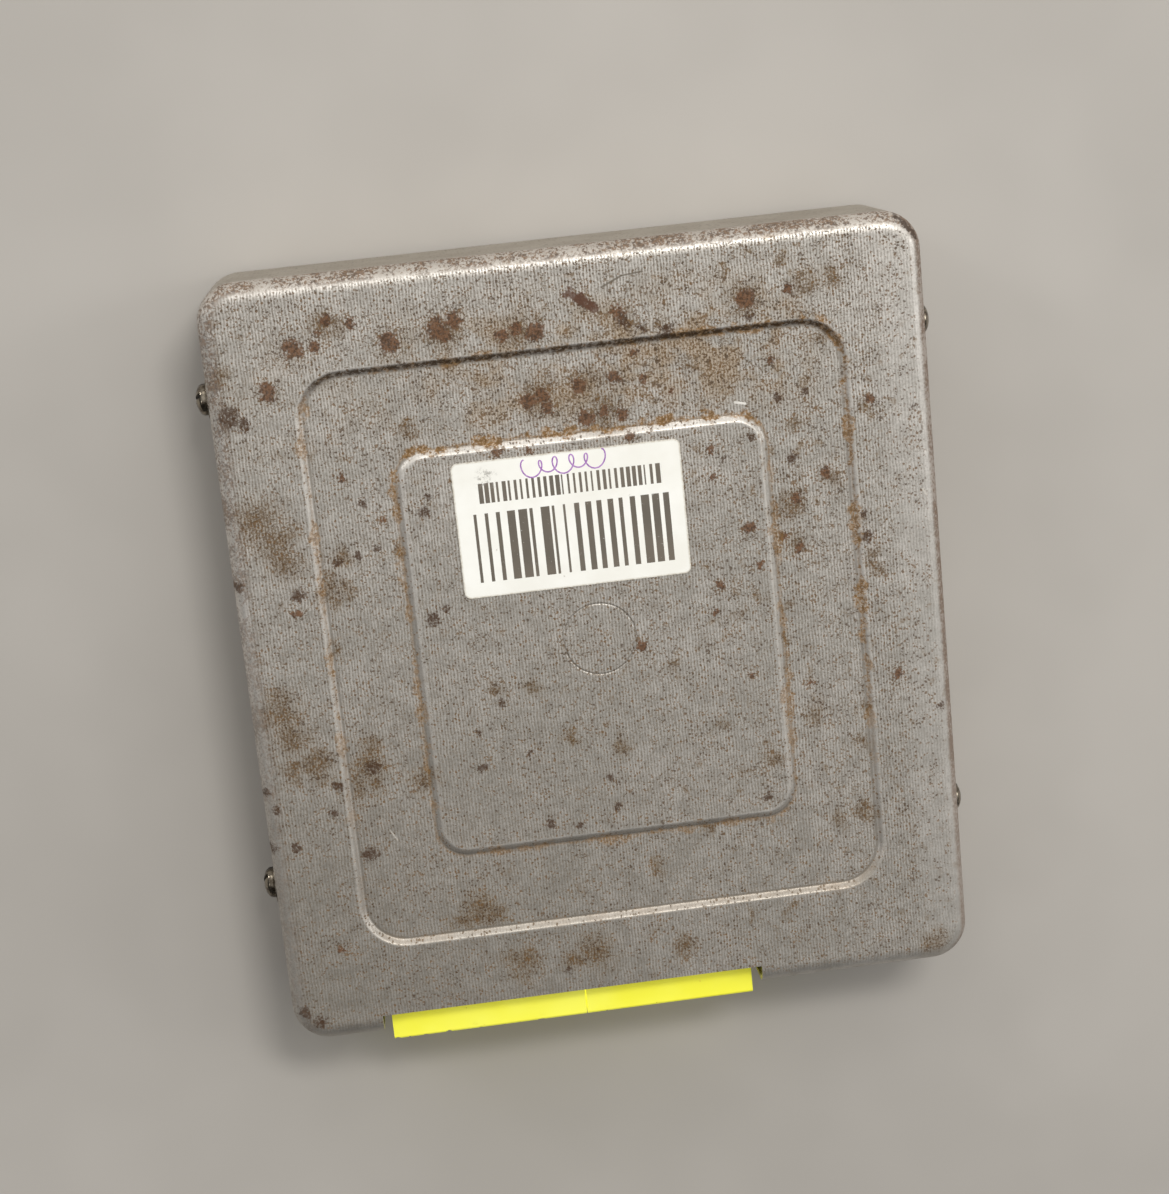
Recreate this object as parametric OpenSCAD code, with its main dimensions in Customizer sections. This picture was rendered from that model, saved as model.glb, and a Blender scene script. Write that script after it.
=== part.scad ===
// Engine control unit in a drawn steel case. A deep cover is screwed over a tray, and a circuit
// board with two plug headers, a heat sink and its small parts stands in the tray.
// The unit lies on its tray: X runs along the plug edge, Y from the plugs to the far wall, and Z
// up through the cover. The origin is the middle of the tray's underside.

/* [Case] */
// Outside width of the cover, along the plug edge
case_w = 156; // [154:1:170]
// Outside depth of the cover, from the plug wall to the far wall
case_d = 172; // [170:1:190]
// Height of the closed case
case_h = 32; // [31.5:0.5:36]
// Radius of the upright corners
corner_r = 8.5; // [6.5:0.5:10]
// Radius rolled along the cover's top edge
edge_r = 4; // [2.5:0.5:5]
// Radius bent along the tray's lower edge
tray_edge_r = 2; // [1.5:0.25:3]
// Sheet thickness of the cover
cover_t = 1; // [0.8:0.1:1.2]
// Sheet thickness of the tray
tray_t = 1; // [0.8:0.1:1.2]
// Space between the cover's walls and the tray's walls
shell_gap = 0.3; // [0.1:0.05:0.4]
// Height of the cover's lower edge above the underside
skirt_lift = 2.5; // [2:0.25:4]
// Height of the tray's walls
tray_h = 23; // [22:0.5:25]

/* [Pressed top] */
// Width of the flat border along the two sides
border_x = 18.4; // [17:0.2:24]
// Width of the flat border along the plug wall and the far wall
border_y = 20.9; // [20:0.1:24]
// Corner radius of the sunk panel inside the border
recess_r = 10; // [6:0.5:14]
// How far the panel is sunk
recess_drop = 1; // [0.7:0.1:1.2]
// Width of the raised island in the panel
island_w = 80.6; // [72:0.2:90]
// Depth of the raised island, along Y
island_d = 91.4; // [88:0.2:100]
// Corner radius of the island
island_r = 6.5; // [4:0.5:10]
// How far the island rises from the panel
island_rise = 0.9; // [0.5:0.1:1.2]
// Width of each sloping step
step_run = 0.9; // [0.6:0.1:1.2]
// Radius of the plain ring stamped in the island
ring_r = 8; // [5:0.5:10]
// Width of the ring's groove
ring_groove = 0.7; // [0.4:0.1:1]
// Depth of the ring's groove
ring_depth = 0.25; // [0.1:0.05:0.4]

/* [Case screws] */
// Distance from the far wall to the screws nearest it
far_screw_inset = 25.5; // [20:0.5:30]
// Distance from the plug wall to the screws nearest it
near_screw_inset = 34.5; // [30:0.5:40]
// Height of the case screws above the underside
case_screw_z = 17; // [15.5:0.5:18]
// Thread radius of the case screws
case_screw_r = 2; // [1.5:0.25:2]
// Length of the case screws under the head
case_screw_len = 8; // [6:0.5:8]
// Head radius of the case screws
case_head_r = 3.5; // [3.25:0.25:4]
// Head height of the case screws
case_head_h = 2.6; // [2.2:0.1:3]
// Radius of the case screws' washers
washer_r = 5; // [4.5:0.25:5.5]
// Thickness of the case screws' washers
washer_t = 0.8; // [0.5:0.1:1]
// Outside radius of the clinch nuts in the tray
clinch_nut_r = 3.8; // [3.4:0.1:4]
// Length of the clinch nuts
clinch_nut_len = 3; // [2:0.25:3]

/* [Bracket holes] */
// Distance from the bracket holes to the cover's sides
bracket_inset_x = 20; // [19:0.5:21]
// Distance from the bracket holes to the plug wall and the far wall
bracket_inset_y = 18; // [17:0.5:19]
// Radius of the tapped bracket holes
bracket_hole_r = 2.1; // [1.65:0.05:2.5]
// Radius of the drawn collar round each bracket hole
bracket_collar_r = 3.8; // [3.3:0.1:4.2]
// Height of the drawn collars above the tray's floor
bracket_collar_h = 2.5; // [1.5:0.25:3]

/* [Tray panel] */
// Width of the flat border round the panel pressed up into the tray's floor
tray_border = 28.7; // [28:0.1:36]
// Corner radius of the stiffening panel
tray_panel_r = 8; // [5:0.5:12]
// How far the stiffening panel is pressed up
tray_panel_rise = 1; // [0.6:0.1:1.4]
// Thickness of the insulating sheet on the panel
sheet_t = 0.4; // [0.2:0.1:0.8]

/* [Circuit board] */
// Space between the board's sides and the cover's outside
board_side_inset = 5; // [4.5:0.25:6]
// Space between the board's front edge and the plug wall's outside
board_front_inset = 6; // [5:0.25:7]
// Space between the board's back edge and the far wall's outside
board_back_inset = 10; // [8:0.25:11]
// Thickness of the circuit board
board_t = 1.6; // [1.2:0.1:2]
// Height of the standoffs that carry the board
standoff_h = 6; // [5:0.5:6.5]
// Radius of the standoffs
standoff_r = 3.5; // [3:0.25:4]
// Distance from the board's edges to its fixing screws
board_screw_inset = 5; // [4.5:0.25:5.5]
// Thread radius of the small screws
small_screw_r = 1.5; // [1.25:0.25:1.5]
// Head radius of the small screws
small_head_r = 2.75; // [2.5:0.25:2.75]
// Head height of the small screws
small_head_h = 2; // [1.6:0.1:2.4]

/* [Plug headers] */
// Distance between neighbouring pins
pin_pitch = 3; // [2.8:0.1:3.1]
// Pin columns in the left header
left_columns = 13; // [11:1:13]
// Pin columns in the right header
right_columns = 11; // [9:1:11]
// Distance between the two rows of pins
pin_rows = 5; // [4:0.25:6]
// Width and height of a pin
pin_size = 1; // [0.6:0.1:1.2]
// Distance from the last pin to the socket's end wall
pin_margin = 2.75; // [2.5:0.25:3]
// Wall thickness of the headers
header_wall = 1.6; // [1.4:0.1:2]
// Height of the headers
header_h = 17.5; // [15:0.5:18]
// Length of the headers from mouth to back
header_len = 24; // [22:0.5:25]
// Depth of the sockets
socket_depth = 14; // [12:0.5:15]
// Distance from the socket's mouth to the tips of the pins
pin_setback = 5; // [4.5:0.25:6]
// How far the headers stand out of the plug wall
header_proud = 4; // [2:0.5:5]
// Radius of the headers' upper front edge
header_edge_r = 1.2; // [0.6:0.1:1.3]
// Room beside the headers, from the left wall
header_inset = 21.9; // [21.2:0.1:24]
// Space between the headers and the ends of the cut-out
cutout_gap = 1.8; // [1:0.1:2.5]
// Space between the two headers
header_seam = 0.2; // [0.1:0.05:0.4]

/* [Heat sink] */
// Space between the heat sink's ends and the board's sides
sink_end_gap = 12; // [11:0.5:14]
// Height of the heat sink above the board
sink_h = 19.5; // [19.5:0.25:20]
// Thickness of the heat sink's plate
sink_t = 3; // [2.5:0.25:3]
// Depth of the heat sink's foot
sink_foot = 8; // [8:0.25:8.5]
// Number of power transistors on the heat sink
transistor_count = 6; // [4:1:6]
// Distance from the heat sink's ends to the outermost devices' middles
device_margin = 16; // [16:0.5:18]
// Thickness of the insulating pads behind the transistors
pad_t = 0.3; // [0.2:0.05:0.5]

/* [Label] */
// Width of the paper label
label_w = 50; // [40:1:60]
// Height of the paper label, along Y
label_h = 30; // [20:1:34]
// Corner radius of the label
label_r = 1.5; // [1:0.25:3]
// Thickness of the label
label_t = 0.2; // [0.1:0.05:0.3]
// Offset of the label from the middle of the island
label_x = -3.4; // [-5:0.2:5]
// Distance from the label to the island's far edge
label_inset = 3.2; // [2:0.2:6]

/* [Hidden] */

// Facets of large and small round shapes
round_fn = 48;
small_fn = 20;
// Overrun that lets a cut pass cleanly through a face
cut = 1;
// Radial space round a thread in its tapped hole
thread_fit = 0.03;
// Radial space round a screw in a plain hole
bolt_fit = 0.2;
// Radial space round a lead in the board
lead_fit = 0.1;
// How far leads and pins reach out below the board
lead_tail = 1.2;

// The tray fits inside the cover
tray_w = case_w - 2 * (cover_t + shell_gap);
tray_d = case_d - 2 * (cover_t + shell_gap);
tray_r = corner_r - cover_t - shell_gap;
tray_panel_w = tray_w - 2 * tray_border;
tray_panel_d = tray_d - 2 * tray_border;
nut_pilot_r = clinch_nut_r - 0.8;
bracket_x = case_w - 2 * bracket_inset_x;
bracket_y = case_d - 2 * bracket_inset_y;

// The pressed top
recess_w = case_w - 2 * border_x;
recess_d = case_d - 2 * border_y;
island_z = case_h - recess_drop + island_rise;

// The board stands on its standoffs
board_w = case_w - 2 * board_side_inset;
board_d = case_d - board_front_inset - board_back_inset;
board_y = (board_front_inset - board_back_inset) / 2;
board_back_y = board_y + board_d / 2;
board_z = tray_t + standoff_h;
board_top = board_z + board_t;
board_screw_ys = [-board_d / 2 + board_screw_inset, 8, board_d / 2 - board_screw_inset];
swage_r = standoff_r - 1.2;

// The plug headers stand side by side on the board
function header_w(columns) = (columns - 1) * pin_pitch + 2 * (pin_margin + header_wall);
left_w = header_w(left_columns);
right_w = header_w(right_columns);
headers_w = left_w + header_seam + right_w;
header_x = -case_w / 2 + header_inset + headers_w / 2;
left_x = header_x - headers_w / 2 + left_w / 2;
right_x = header_x + headers_w / 2 - right_w / 2;
header_front_y = -case_d / 2 - header_proud;
header_back_y = header_front_y + header_len;
ear_w = 7;
ear_d = 9;
ear_h = 6;
ear_y = header_back_y - ear_d / 2;
key_w = 1.6;
key_h = 1.2;
// Distances behind the headers where the lower and the upper pins turn down
pin_turns = [1.8, 4.8];
// The walls under the headers end below the board
sill_z = board_z - 0.6;
cutout_w = headers_w + 2 * cutout_gap;

// The heat sink stands along the board's back edge
sink_back_y = board_back_y - 1;
sink_face_y = sink_back_y - sink_foot;
sink_top_z = board_top + sink_h;
sink_len = board_w - 2 * sink_end_gap;
sink_screw_x = sink_len / 2 - 8;
device_pitch = (sink_len - 2 * device_margin) / transistor_count;
device_y = sink_face_y - pad_t;

// Small parts stand in rows and columns. A row is a share of the way from the headers' backs to
// the heat sink, and a column is a share of the board's width, from its middle.
function row_y(share) = header_back_y + share * (sink_face_y - header_back_y);
function column_x(share) = share * board_w;
left_column = -0.41;
right_column = 0.384;

// Steps between the large parts of each row
film_pitch = 10;
small_can_pitch = 10;
power_pitch = 26;
choke_pitch = 16;

// Leads and legs of the bought-in parts
thin_lead_r = 0.3;
thick_lead_r = 0.4;
leg_pitch = 2.54;

// Power transistors and the regulator
device_body = [10, 4.5, 9];
device_stand = 4;
tab_t = 1.3;
tab_h = 6.4;
tab_hole_z = 16.4;
device_leg_y = -2.4;
pad_w = 12;
pad_h = 17.5;

// Chips: bodies as width, depth and height
micro_body = [24, 24, 3.2];
micro_pitch = 1.5;
micro_legs = 14;
input_body = [10.4, 7.5, 2.4];
input_pitch = 1.27;
driver_body = [20, 6.4, 3.3];
driver_row = 7.62;
driver_legs = 8;
memory_body = [36, 13.4, 3.6];
memory_row = 15.24;
memory_legs = 14;
socket_body = [36, 18, 4.5];
socket_window = [30, 9];
socket_floor = 1.5;
hybrid_plate = [32, 1, 13];
hybrid_legs = 12;
hybrid_lift = 1;
network_body = [23, 2.4, 6.5];
network_legs = 9;

// Capacitors, resistors, diodes, chokes, crystal and surge absorber
big_can = [8, 18];
small_can = [4, 11.5];
film_body = [13, 6, 11];
film_span = 10;
disc_size = [3.2, 2.2];
disc_span = 5;
resistor_size = [6.3, 1.15];
resistor_span = 10;
power_body = [22, 7, 7];
power_span = 18;
power_lift = 2;
diode_size = [5.2, 1.4];
diode_span = 10;
choke_r = 6.5;
choke_h = 14;
choke_core_r = 3;
choke_flange = 1.5;
choke_span = 8;
choke_wire_r = 0.5;
crystal_flange = [11, 4.7, 0.6];
crystal_can = [10.2, 3.9, 3.2];
crystal_span = 4.88;
absorber_size = [6.5, 4];
absorber_span = 7.5;

// ---------- shapes used by more than one piece ----------

// A block of plan w x d whose rim has the child's section. The section's X runs from the
// corner's centre out to r, and its Y is the block's height h.
module rimmed_block(w, d, h, r) {
    for (k = [0:3]) {
        across = k % 2 == 0 ? w : d;
        along = k % 2 == 0 ? d : w;
        rotate([0, 0, 90 * k])
            translate([across / 2 - r, along / 2 - r, 0]) {
                rotate_extrude(angle = 90, $fn = round_fn) children();
                rotate([90, 0, 0]) linear_extrude(along - 2 * r) children();
            }
    }
    translate([-w / 2 + r, -d / 2 + r, 0]) cube([w - 2 * r, d - 2 * r, h]);
}

// A block with upright round corners
module round_block(w, d, h, r) {
    rimmed_block(w, d, h, r) square([r, h]);
}

// A block with upright round corners and a rolled top edge
module rolled_block(w, d, h, r, roll) {
    rimmed_block(w, d, h, r) union() {
        square([r - roll, h]);
        square([r, h - roll]);
        translate([r - roll, h - roll]) circle(roll, $fn = round_fn);
    }
}

// A block whose four walls lean in by run over its height
module sloped_block(w, d, h, r, run) {
    rimmed_block(w, d, h, r) polygon([[0, 0], [r, 0], [r - run, h], [0, h]]);
}

module post(r, h) {
    cylinder(h, r, r, $fn = round_fn);
}

// A hole along Z through anything between low and high
module bore(r, low, high) {
    translate([0, 0, low - cut]) cylinder(high - low + 2 * cut, r, r, $fn = round_fn);
}

// A pan head screw with a slot, its head's seat on z = 0 and its thread pointing down
module pan_screw(thread_r, length, head_r, head_h) {
    dome_r = head_r * 1.6;
    slot_w = head_r * 0.3;
    translate([0, 0, -length]) post(thread_r, length);
    difference() {
        intersection() {
            post(head_r, head_h);
            translate([0, 0, head_h - dome_r]) sphere(dome_r, $fn = round_fn);
        }
        translate([-head_r - cut, -slot_w / 2, head_h * 0.5])
            cube([2 * (head_r + cut), slot_w, head_h]);
    }
}

module small_screw(length) {
    pan_screw(small_screw_r, length, small_head_r, small_head_h);
}

// Places its children along X, or in two rows along X
module line_up(count, pitch) {
    for (i = [0:count - 1]) translate([(i - (count - 1) / 2) * pitch, 0, 0]) children();
}

module two_rows(count, pitch, row) {
    for (side = [0, 180])
        rotate([0, 0, side]) translate([0, row / 2, 0]) line_up(count, pitch) children();
}

// One lead from the board's top down through the board and out below it
module lead(r) {
    translate([0, 0, -board_t - lead_tail]) cylinder(board_t + lead_tail, r, r, $fn = small_fn);
}

// The bent leg of a chip that is soldered flat on the board, pointing to +Y from the chip
module flat_leg(rise, width) {
    reach = 1.6;
    leg_t = 0.2;
    rotate([90, 0, 90])
        translate([0, 0, -width / 2])
            linear_extrude(width)
                polygon([[0, rise], [0, rise - leg_t], [0.4, rise - leg_t], [0.7, 0], [reach, 0],
                    [reach, leg_t], [0.9, leg_t], [0.6, rise]]);
}

// A chip soldered flat on the board, with legs on its two long sides
module flat_chip(body, pitch, count) {
    translate([-body[0] / 2, -body[1] / 2, 0.15]) cube(body);
    two_rows(count, pitch, body[1]) flat_leg(body[2] * 0.6, pitch * 0.4);
}

// A chip with two rows of straight legs: the legs' shoulders stand on z = 0
module dip_chip(body, stand, columns, row, tail) {
    leg_t = 0.25;
    shoulder_w = 1.2;
    leg_w = 0.5;
    knee_z = stand + body[2] / 2;
    translate([-body[0] / 2, -body[1] / 2, stand]) cube(body);
    two_rows(columns, leg_pitch, row) {
        translate([-shoulder_w / 2, -leg_t, 0]) cube([shoulder_w, leg_t, knee_z]);
        translate([-shoulder_w / 2, (body[1] - row) / 2, knee_z - leg_t])
            cube([shoulder_w, (row - body[1]) / 2, leg_t]);
        if (tail > 0) translate([-leg_w / 2, -leg_t, -tail]) cube([leg_w, leg_t, tail]);
    }
}

// A part with a round body of length size[0] and radius size[1], lying along X on two leads
module axial_part(size, span, lead_r) {
    body_r = size[1];
    translate([-size[0] / 2, 0, body_r])
        rotate([0, 90, 0]) cylinder(size[0], body_r, body_r, $fn = 24);
    translate([-span / 2, 0, body_r])
        rotate([0, 90, 0]) cylinder(span, lead_r, lead_r, $fn = small_fn);
    line_up(2, span) {
        translate([0, 0, body_r]) sphere(lead_r, $fn = small_fn);
        cylinder(body_r, lead_r, lead_r, $fn = small_fn);
        lead(lead_r);
    }
}

// A round flat part of radius size[0] and thickness size[1], on edge across X on stepped leads
module disc_part(size, span) {
    lift = 1.2;
    translate([0, size[1] / 2, size[0] + lift])
        rotate([90, 0, 0]) cylinder(size[1], size[0], size[0], $fn = round_fn);
    line_up(2, span) {
        cylinder(size[0] + lift, thin_lead_r * 2, thin_lead_r * 2, $fn = small_fn);
        lead(thin_lead_r);
    }
}

// A round capacitor of radius size[0] and height size[1]: a can with a crimped waist on its bung
module can_capacitor(size) {
    r = size[0];
    h = size[1];
    bung_h = 0.5;
    waist_r = r * 0.1;
    post(r * 0.85, bung_h);
    difference() {
        translate([0, 0, bung_h]) post(r, h - bung_h);
        translate([0, 0, bung_h + 1.2 + waist_r])
            rotate_extrude($fn = round_fn)
                translate([r + waist_r * 0.4, 0]) circle(waist_r, $fn = small_fn);
    }
    line_up(2, r) lead(thin_lead_r);
}

// A power device on three leads, its metal tab's back on y = 0
module tab_device() {
    leg_t = 0.5;
    translate([0, device_leg_y, 0])
        line_up(3, leg_pitch) {
            translate([-0.6, -leg_t / 2, 0]) cube([1.2, leg_t, device_stand]);
            translate([-0.3, -leg_t / 2, -board_t - lead_tail])
                cube([0.6, leg_t, board_t + lead_tail]);
        }
    translate([-device_body[0] / 2, -device_body[1], device_stand]) cube(device_body);
    difference() {
        translate([-device_body[0] / 2, -tab_t, device_stand + device_body[2]])
            cube([device_body[0], tab_t, tab_h]);
        translate([0, 0, tab_hole_z])
            rotate([90, 0, 0]) bore(small_screw_r + bolt_fit, 0, tab_t);
    }
}

// ---------- where the repeated pieces stand ----------

// Turns pieces that point up from z = 0 to point out from the side walls at wall_x
module at_case_screws(wall_x) {
    for (side = [-1, 1], y = [case_d / 2 - far_screw_inset, -case_d / 2 + near_screw_inset])
        translate([side * wall_x, y, case_screw_z]) rotate([0, side * 90, 0]) children();
}

module at_bracket_holes() {
    for (x = [-1, 1], y = [-1, 1]) translate([x * bracket_x / 2, y * bracket_y / 2, 0]) children();
}

module at_board_screws() {
    for (side = [-1, 1], y = board_screw_ys)
        translate([side * (board_w / 2 - board_screw_inset), board_y + y, 0]) children();
}

module at_header_screws() {
    for (x = [header_x - (headers_w + ear_w) / 2, header_x + (headers_w + ear_w) / 2])
        translate([x, ear_y, 0]) children();
}

module at_sink_screws() {
    for (side = [-1, 1])
        translate([side * sink_screw_x, sink_back_y - (sink_foot - sink_t) / 2, 0]) children();
}

// Devices in one row against the heat sink, number first to number last
module at_devices(first, last) {
    for (i = [first:last])
        translate([(i - transistor_count / 2) * device_pitch, device_y, 0]) children();
}

module at_transistors() {
    at_devices(0, transistor_count - 1) children();
}

module at_regulator() {
    at_devices(transistor_count, transistor_count) children();
}

module at_pin_columns(x, columns) {
    translate([x, 0, 0]) line_up(columns, pin_pitch) children();
}

module at(column, row) {
    translate([column_x(column), row_y(row), 0]) children();
}

// The same, with the children turned to lie along Y
module turned_at(column, row) {
    at(column, row) rotate([0, 0, 90]) children();
}

module at_discs() {
    at(-0.075, 0.09) line_up(8, 8) rotate([0, 0, 90]) children();
}

module at_resistors() {
    at(-0.075, 0.18) line_up(11, 6) rotate([0, 0, 90]) children();
    at(0.089, 0.67) line_up(10, 6) rotate([0, 0, 90]) children();
}

module at_diodes() {
    at(0, 0.895) line_up(8, 12) rotate([0, 0, 90]) children();
}

module at_drivers() {
    at(-0.068, 0.78) line_up(3, 26) children();
}

module at_input_chips() {
    at(-0.137, 0.285) line_up(3, 17) children();
}

module at_microcontroller() {
    at(0, 0.5) children();
}

module at_memory() {
    turned_at(-0.247, 0.51) children();
}

module at_hybrids() {
    at(0.226, 0.5) line_up(2, 10) rotate([0, 0, 90]) children();
}

module at_networks() {
    turned_at(0.212, 0.28) line_up(3, 6) rotate([0, 0, -90]) children();
}

module at_crystal() {
    at(0, 0.355) children();
}

module at_main_capacitor() {
    at(right_column, 0.18) children();
}

module at_surge_absorber() {
    at(right_column, 0.06) children();
}

module at_films() {
    turned_at(right_column, 0.4) line_up(3, film_pitch) rotate([0, 0, -90]) children();
}

module at_small_capacitors() {
    turned_at(right_column, 0.71) line_up(4, small_can_pitch) children();
}

module at_power_resistors() {
    turned_at(left_column, 0.67) line_up(2, power_pitch) children();
}

module at_chokes() {
    turned_at(left_column, 0.165) line_up(2, choke_pitch) children();
}

// ---------- the case ----------

// The cover's skin, set in by inset from the outside: sides, rolled edge and pressed top.
// Bends grow or shrink by half of the inset, as they do across a sheet.
module cover_skin(inset) {
    top = case_h - inset;
    bend = inset / 2;
    over = step_run * cut / recess_drop;
    difference() {
        rolled_block(case_w - 2 * inset, case_d - 2 * inset, top, corner_r - inset, edge_r - inset);
        translate([0, 0, top + cut])
            rotate([180, 0, 0])
                sloped_block(recess_w + 2 * (bend + over), recess_d + 2 * (bend + over),
                    recess_drop + cut, recess_r + bend + over, step_run + over);
    }
    translate([0, 0, top - recess_drop])
        sloped_block(island_w - 2 * bend, island_d - 2 * bend, island_rise, island_r - bend, step_run);
}

module top_cover() {
    color("darkgray")
        difference() {
            cover_skin(0);
            cover_skin(cover_t);
            translate([-case_w, -case_d, -cut]) cube([2 * case_w, 2 * case_d, skirt_lift + cut]);
            // The cut-out for the headers runs up through the rolled edge
            translate([header_x - cutout_w / 2, -case_d / 2 - cut, 0])
                cube([cutout_w, edge_r + cut, case_h + cut]);
            at_case_screws(case_w / 2) bore(case_screw_r + bolt_fit, -cover_t, 0);
            translate([0, 0, island_z - ring_depth])
                difference() {
                    post(ring_r + ring_groove / 2, ring_depth + cut);
                    bore(ring_r - ring_groove / 2, 0, ring_depth + cut);
                }
        }
}

// The tray's shell, set in by inset from its outside and open at the top
module tray_skin(inset, top) {
    translate([0, 0, top])
        rotate([180, 0, 0])
            rolled_block(tray_w - 2 * inset, tray_d - 2 * inset, top - inset, tray_r - inset,
                tray_edge_r - inset);
}

module base_tray() {
    color("gray")
        difference() {
            union() {
                difference() {
                    tray_skin(0, tray_h);
                    tray_skin(tray_t, tray_h + cut);
                }
                translate([0, 0, tray_t])
                    sloped_block(tray_panel_w, tray_panel_d, tray_panel_rise, tray_panel_r,
                        tray_panel_rise);
                at_bracket_holes() post(bracket_collar_r, tray_t + bracket_collar_h);
            }
            translate([0, 0, -cut])
                sloped_block(tray_panel_w + 2 * cut, tray_panel_d + 2 * cut,
                    tray_panel_rise + cut, tray_panel_r + cut, tray_panel_rise + cut);
            at_bracket_holes() bore(bracket_hole_r, 0, tray_t + bracket_collar_h);
            at_board_screws() bore(swage_r, 0, tray_t);
            at_case_screws(tray_w / 2) bore(nut_pilot_r, -tray_t, 0);
            // The plug wall is low under the headers
            translate([header_x - cutout_w / 2, -tray_d / 2 - cut, sill_z])
                cube([cutout_w, tray_t + 2 * cut, tray_h]);
        }
}

module case_screws() {
    color("lightgray")
        at_case_screws(case_w / 2 + washer_t)
            pan_screw(case_screw_r, case_screw_len, case_head_r, case_head_h);
}

module case_screw_washers() {
    color("silver")
        at_case_screws(case_w / 2)
            difference() {
                post(washer_r, washer_t);
                bore(case_screw_r + bolt_fit, 0, washer_t);
            }
}

// Nuts pressed into the tray's walls from inside
module clinch_nuts() {
    color("silver")
        at_case_screws(tray_w / 2 - tray_t)
            difference() {
                union() {
                    translate([0, 0, -clinch_nut_len]) post(clinch_nut_r, clinch_nut_len);
                    post(nut_pilot_r - thread_fit, tray_t);
                }
                bore(case_screw_r + thread_fit, -clinch_nut_len, tray_t);
            }
}

module insulating_sheet() {
    margin = 4;
    color("ivory")
        translate([0, 0, tray_t + tray_panel_rise])
            round_block(tray_panel_w - 2 * margin, tray_panel_d - 2 * margin, sheet_t,
                tray_panel_r - margin / 2);
}

module paper_label() {
    color("white")
        translate([label_x, island_d / 2 - label_inset - label_h / 2, island_z])
            round_block(label_w, label_h, label_t, label_r);
}

// ---------- the plug headers ----------

// One header: a socket with keys under its roof, and an ear at its outer end
module plug_header(x, columns, ear_side, key_xs) {
    w = header_w(columns);
    translate([x, 0, board_top])
        difference() {
            union() {
                translate([-w / 2, header_front_y, 0])
                    rotate([90, 0, 90])
                        linear_extrude(w) {
                            translate([header_edge_r, 0]) square([header_len - header_edge_r, header_h]);
                            square([header_len, header_h - header_edge_r]);
                            translate([header_edge_r, header_h - header_edge_r])
                                circle(header_edge_r, $fn = round_fn);
                        }
                translate([ear_side * (w + ear_w) / 2 - ear_w / 2, ear_y - ear_d / 2, 0])
                    cube([ear_w, ear_d, ear_h]);
            }
            difference() {
                translate([-w / 2 + header_wall, header_front_y - cut, header_wall])
                    cube([w - 2 * header_wall, socket_depth + cut, header_h - 2 * header_wall]);
                for (key_x = key_xs)
                    translate([key_x - key_w / 2, header_front_y + 1, header_h - header_wall - key_h])
                        cube([key_w, socket_depth, key_h + cut]);
            }
            line_up(columns, pin_pitch) pin_bars(header_front_y, header_back_y + cut);
            translate([ear_side * (w + ear_w) / 2, ear_y, 0])
                bore(small_screw_r + thread_fit, 0, ear_h);
        }
}

// The straight part of the two pins in a column, with z = 0 on the board
module pin_bars(y_from, y_to) {
    for (row = [-1, 1])
        translate([-pin_size / 2, y_from, header_h / 2 + row * pin_rows / 2 - pin_size / 2])
            cube([pin_size, y_to - y_from, pin_size]);
}

module header_pins(x, columns) {
    translate([x, 0, board_top])
        line_up(columns, pin_pitch) {
            for (row = [0, 1]) {
                z = header_h / 2 + (row - 0.5) * pin_rows;
                turn_y = header_back_y + pin_turns[row];
                translate([-pin_size / 2, header_front_y + pin_setback, z - pin_size / 2])
                    cube([pin_size, turn_y + pin_size / 2 - header_front_y - pin_setback, pin_size]);
                translate([-pin_size / 2, turn_y - pin_size / 2, -board_t - lead_tail])
                    cube([pin_size, pin_size, z + board_t + lead_tail]);
            }
        }
}

module left_plug_header() {
    color("yellow") plug_header(left_x, left_columns, -1, [-9, 9]);
}

module right_plug_header() {
    color("yellow") plug_header(right_x, right_columns, 1, [0]);
}

module left_header_pins() {
    color("gold") header_pins(left_x, left_columns);
}

module right_header_pins() {
    color("gold") header_pins(right_x, right_columns);
}

// Screws from below the board into the headers' ears
module header_screws() {
    color("silver")
        at_header_screws()
            translate([0, 0, board_z]) rotate([180, 0, 0]) small_screw(board_t + ear_h - 1);
}

// ---------- the board and what carries it ----------

module circuit_board() {
    color("darkgreen")
        translate([0, 0, board_z])
            linear_extrude(board_t)
                difference() {
                    translate([-board_w / 2, board_y - board_d / 2]) square([board_w, board_d]);
                    at_board_screws() circle(small_screw_r + bolt_fit, $fn = round_fn);
                    at_header_screws() circle(small_screw_r + bolt_fit, $fn = round_fn);
                    at_sink_screws() circle(small_screw_r + bolt_fit, $fn = round_fn);
                    for (turn = pin_turns) {
                        hole_r = pin_size * 0.75;
                        translate([0, header_back_y + turn]) {
                            at_pin_columns(left_x, left_columns) circle(hole_r, $fn = small_fn);
                            at_pin_columns(right_x, right_columns) circle(hole_r, $fn = small_fn);
                        }
                    }
                    at_transistors() tab_device_holes();
                    at_regulator() tab_device_holes();
                    at_discs() lead_holes(2, disc_span, thin_lead_r);
                    at_resistors() lead_holes(2, resistor_span, thin_lead_r);
                    at_diodes() lead_holes(2, diode_span, thick_lead_r);
                    at_films() lead_holes(2, film_span, thick_lead_r);
                    at_power_resistors() lead_holes(2, power_span, thick_lead_r);
                    at_chokes() lead_holes(2, choke_span, thick_lead_r);
                    at_main_capacitor() lead_holes(2, big_can[0], thin_lead_r);
                    at_small_capacitors() lead_holes(2, small_can[0], thin_lead_r);
                    at_surge_absorber() lead_holes(2, absorber_span, thin_lead_r);
                    at_crystal() lead_holes(2, crystal_span, thin_lead_r);
                    at_networks() lead_holes(network_legs, leg_pitch, thin_lead_r);
                    at_hybrids() lead_holes(hybrid_legs, leg_pitch, thin_lead_r);
                    at_drivers() two_rows(driver_legs, leg_pitch, driver_row) dip_hole();
                    at_memory() two_rows(memory_legs, leg_pitch, memory_row) dip_hole();
                }
}

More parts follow.
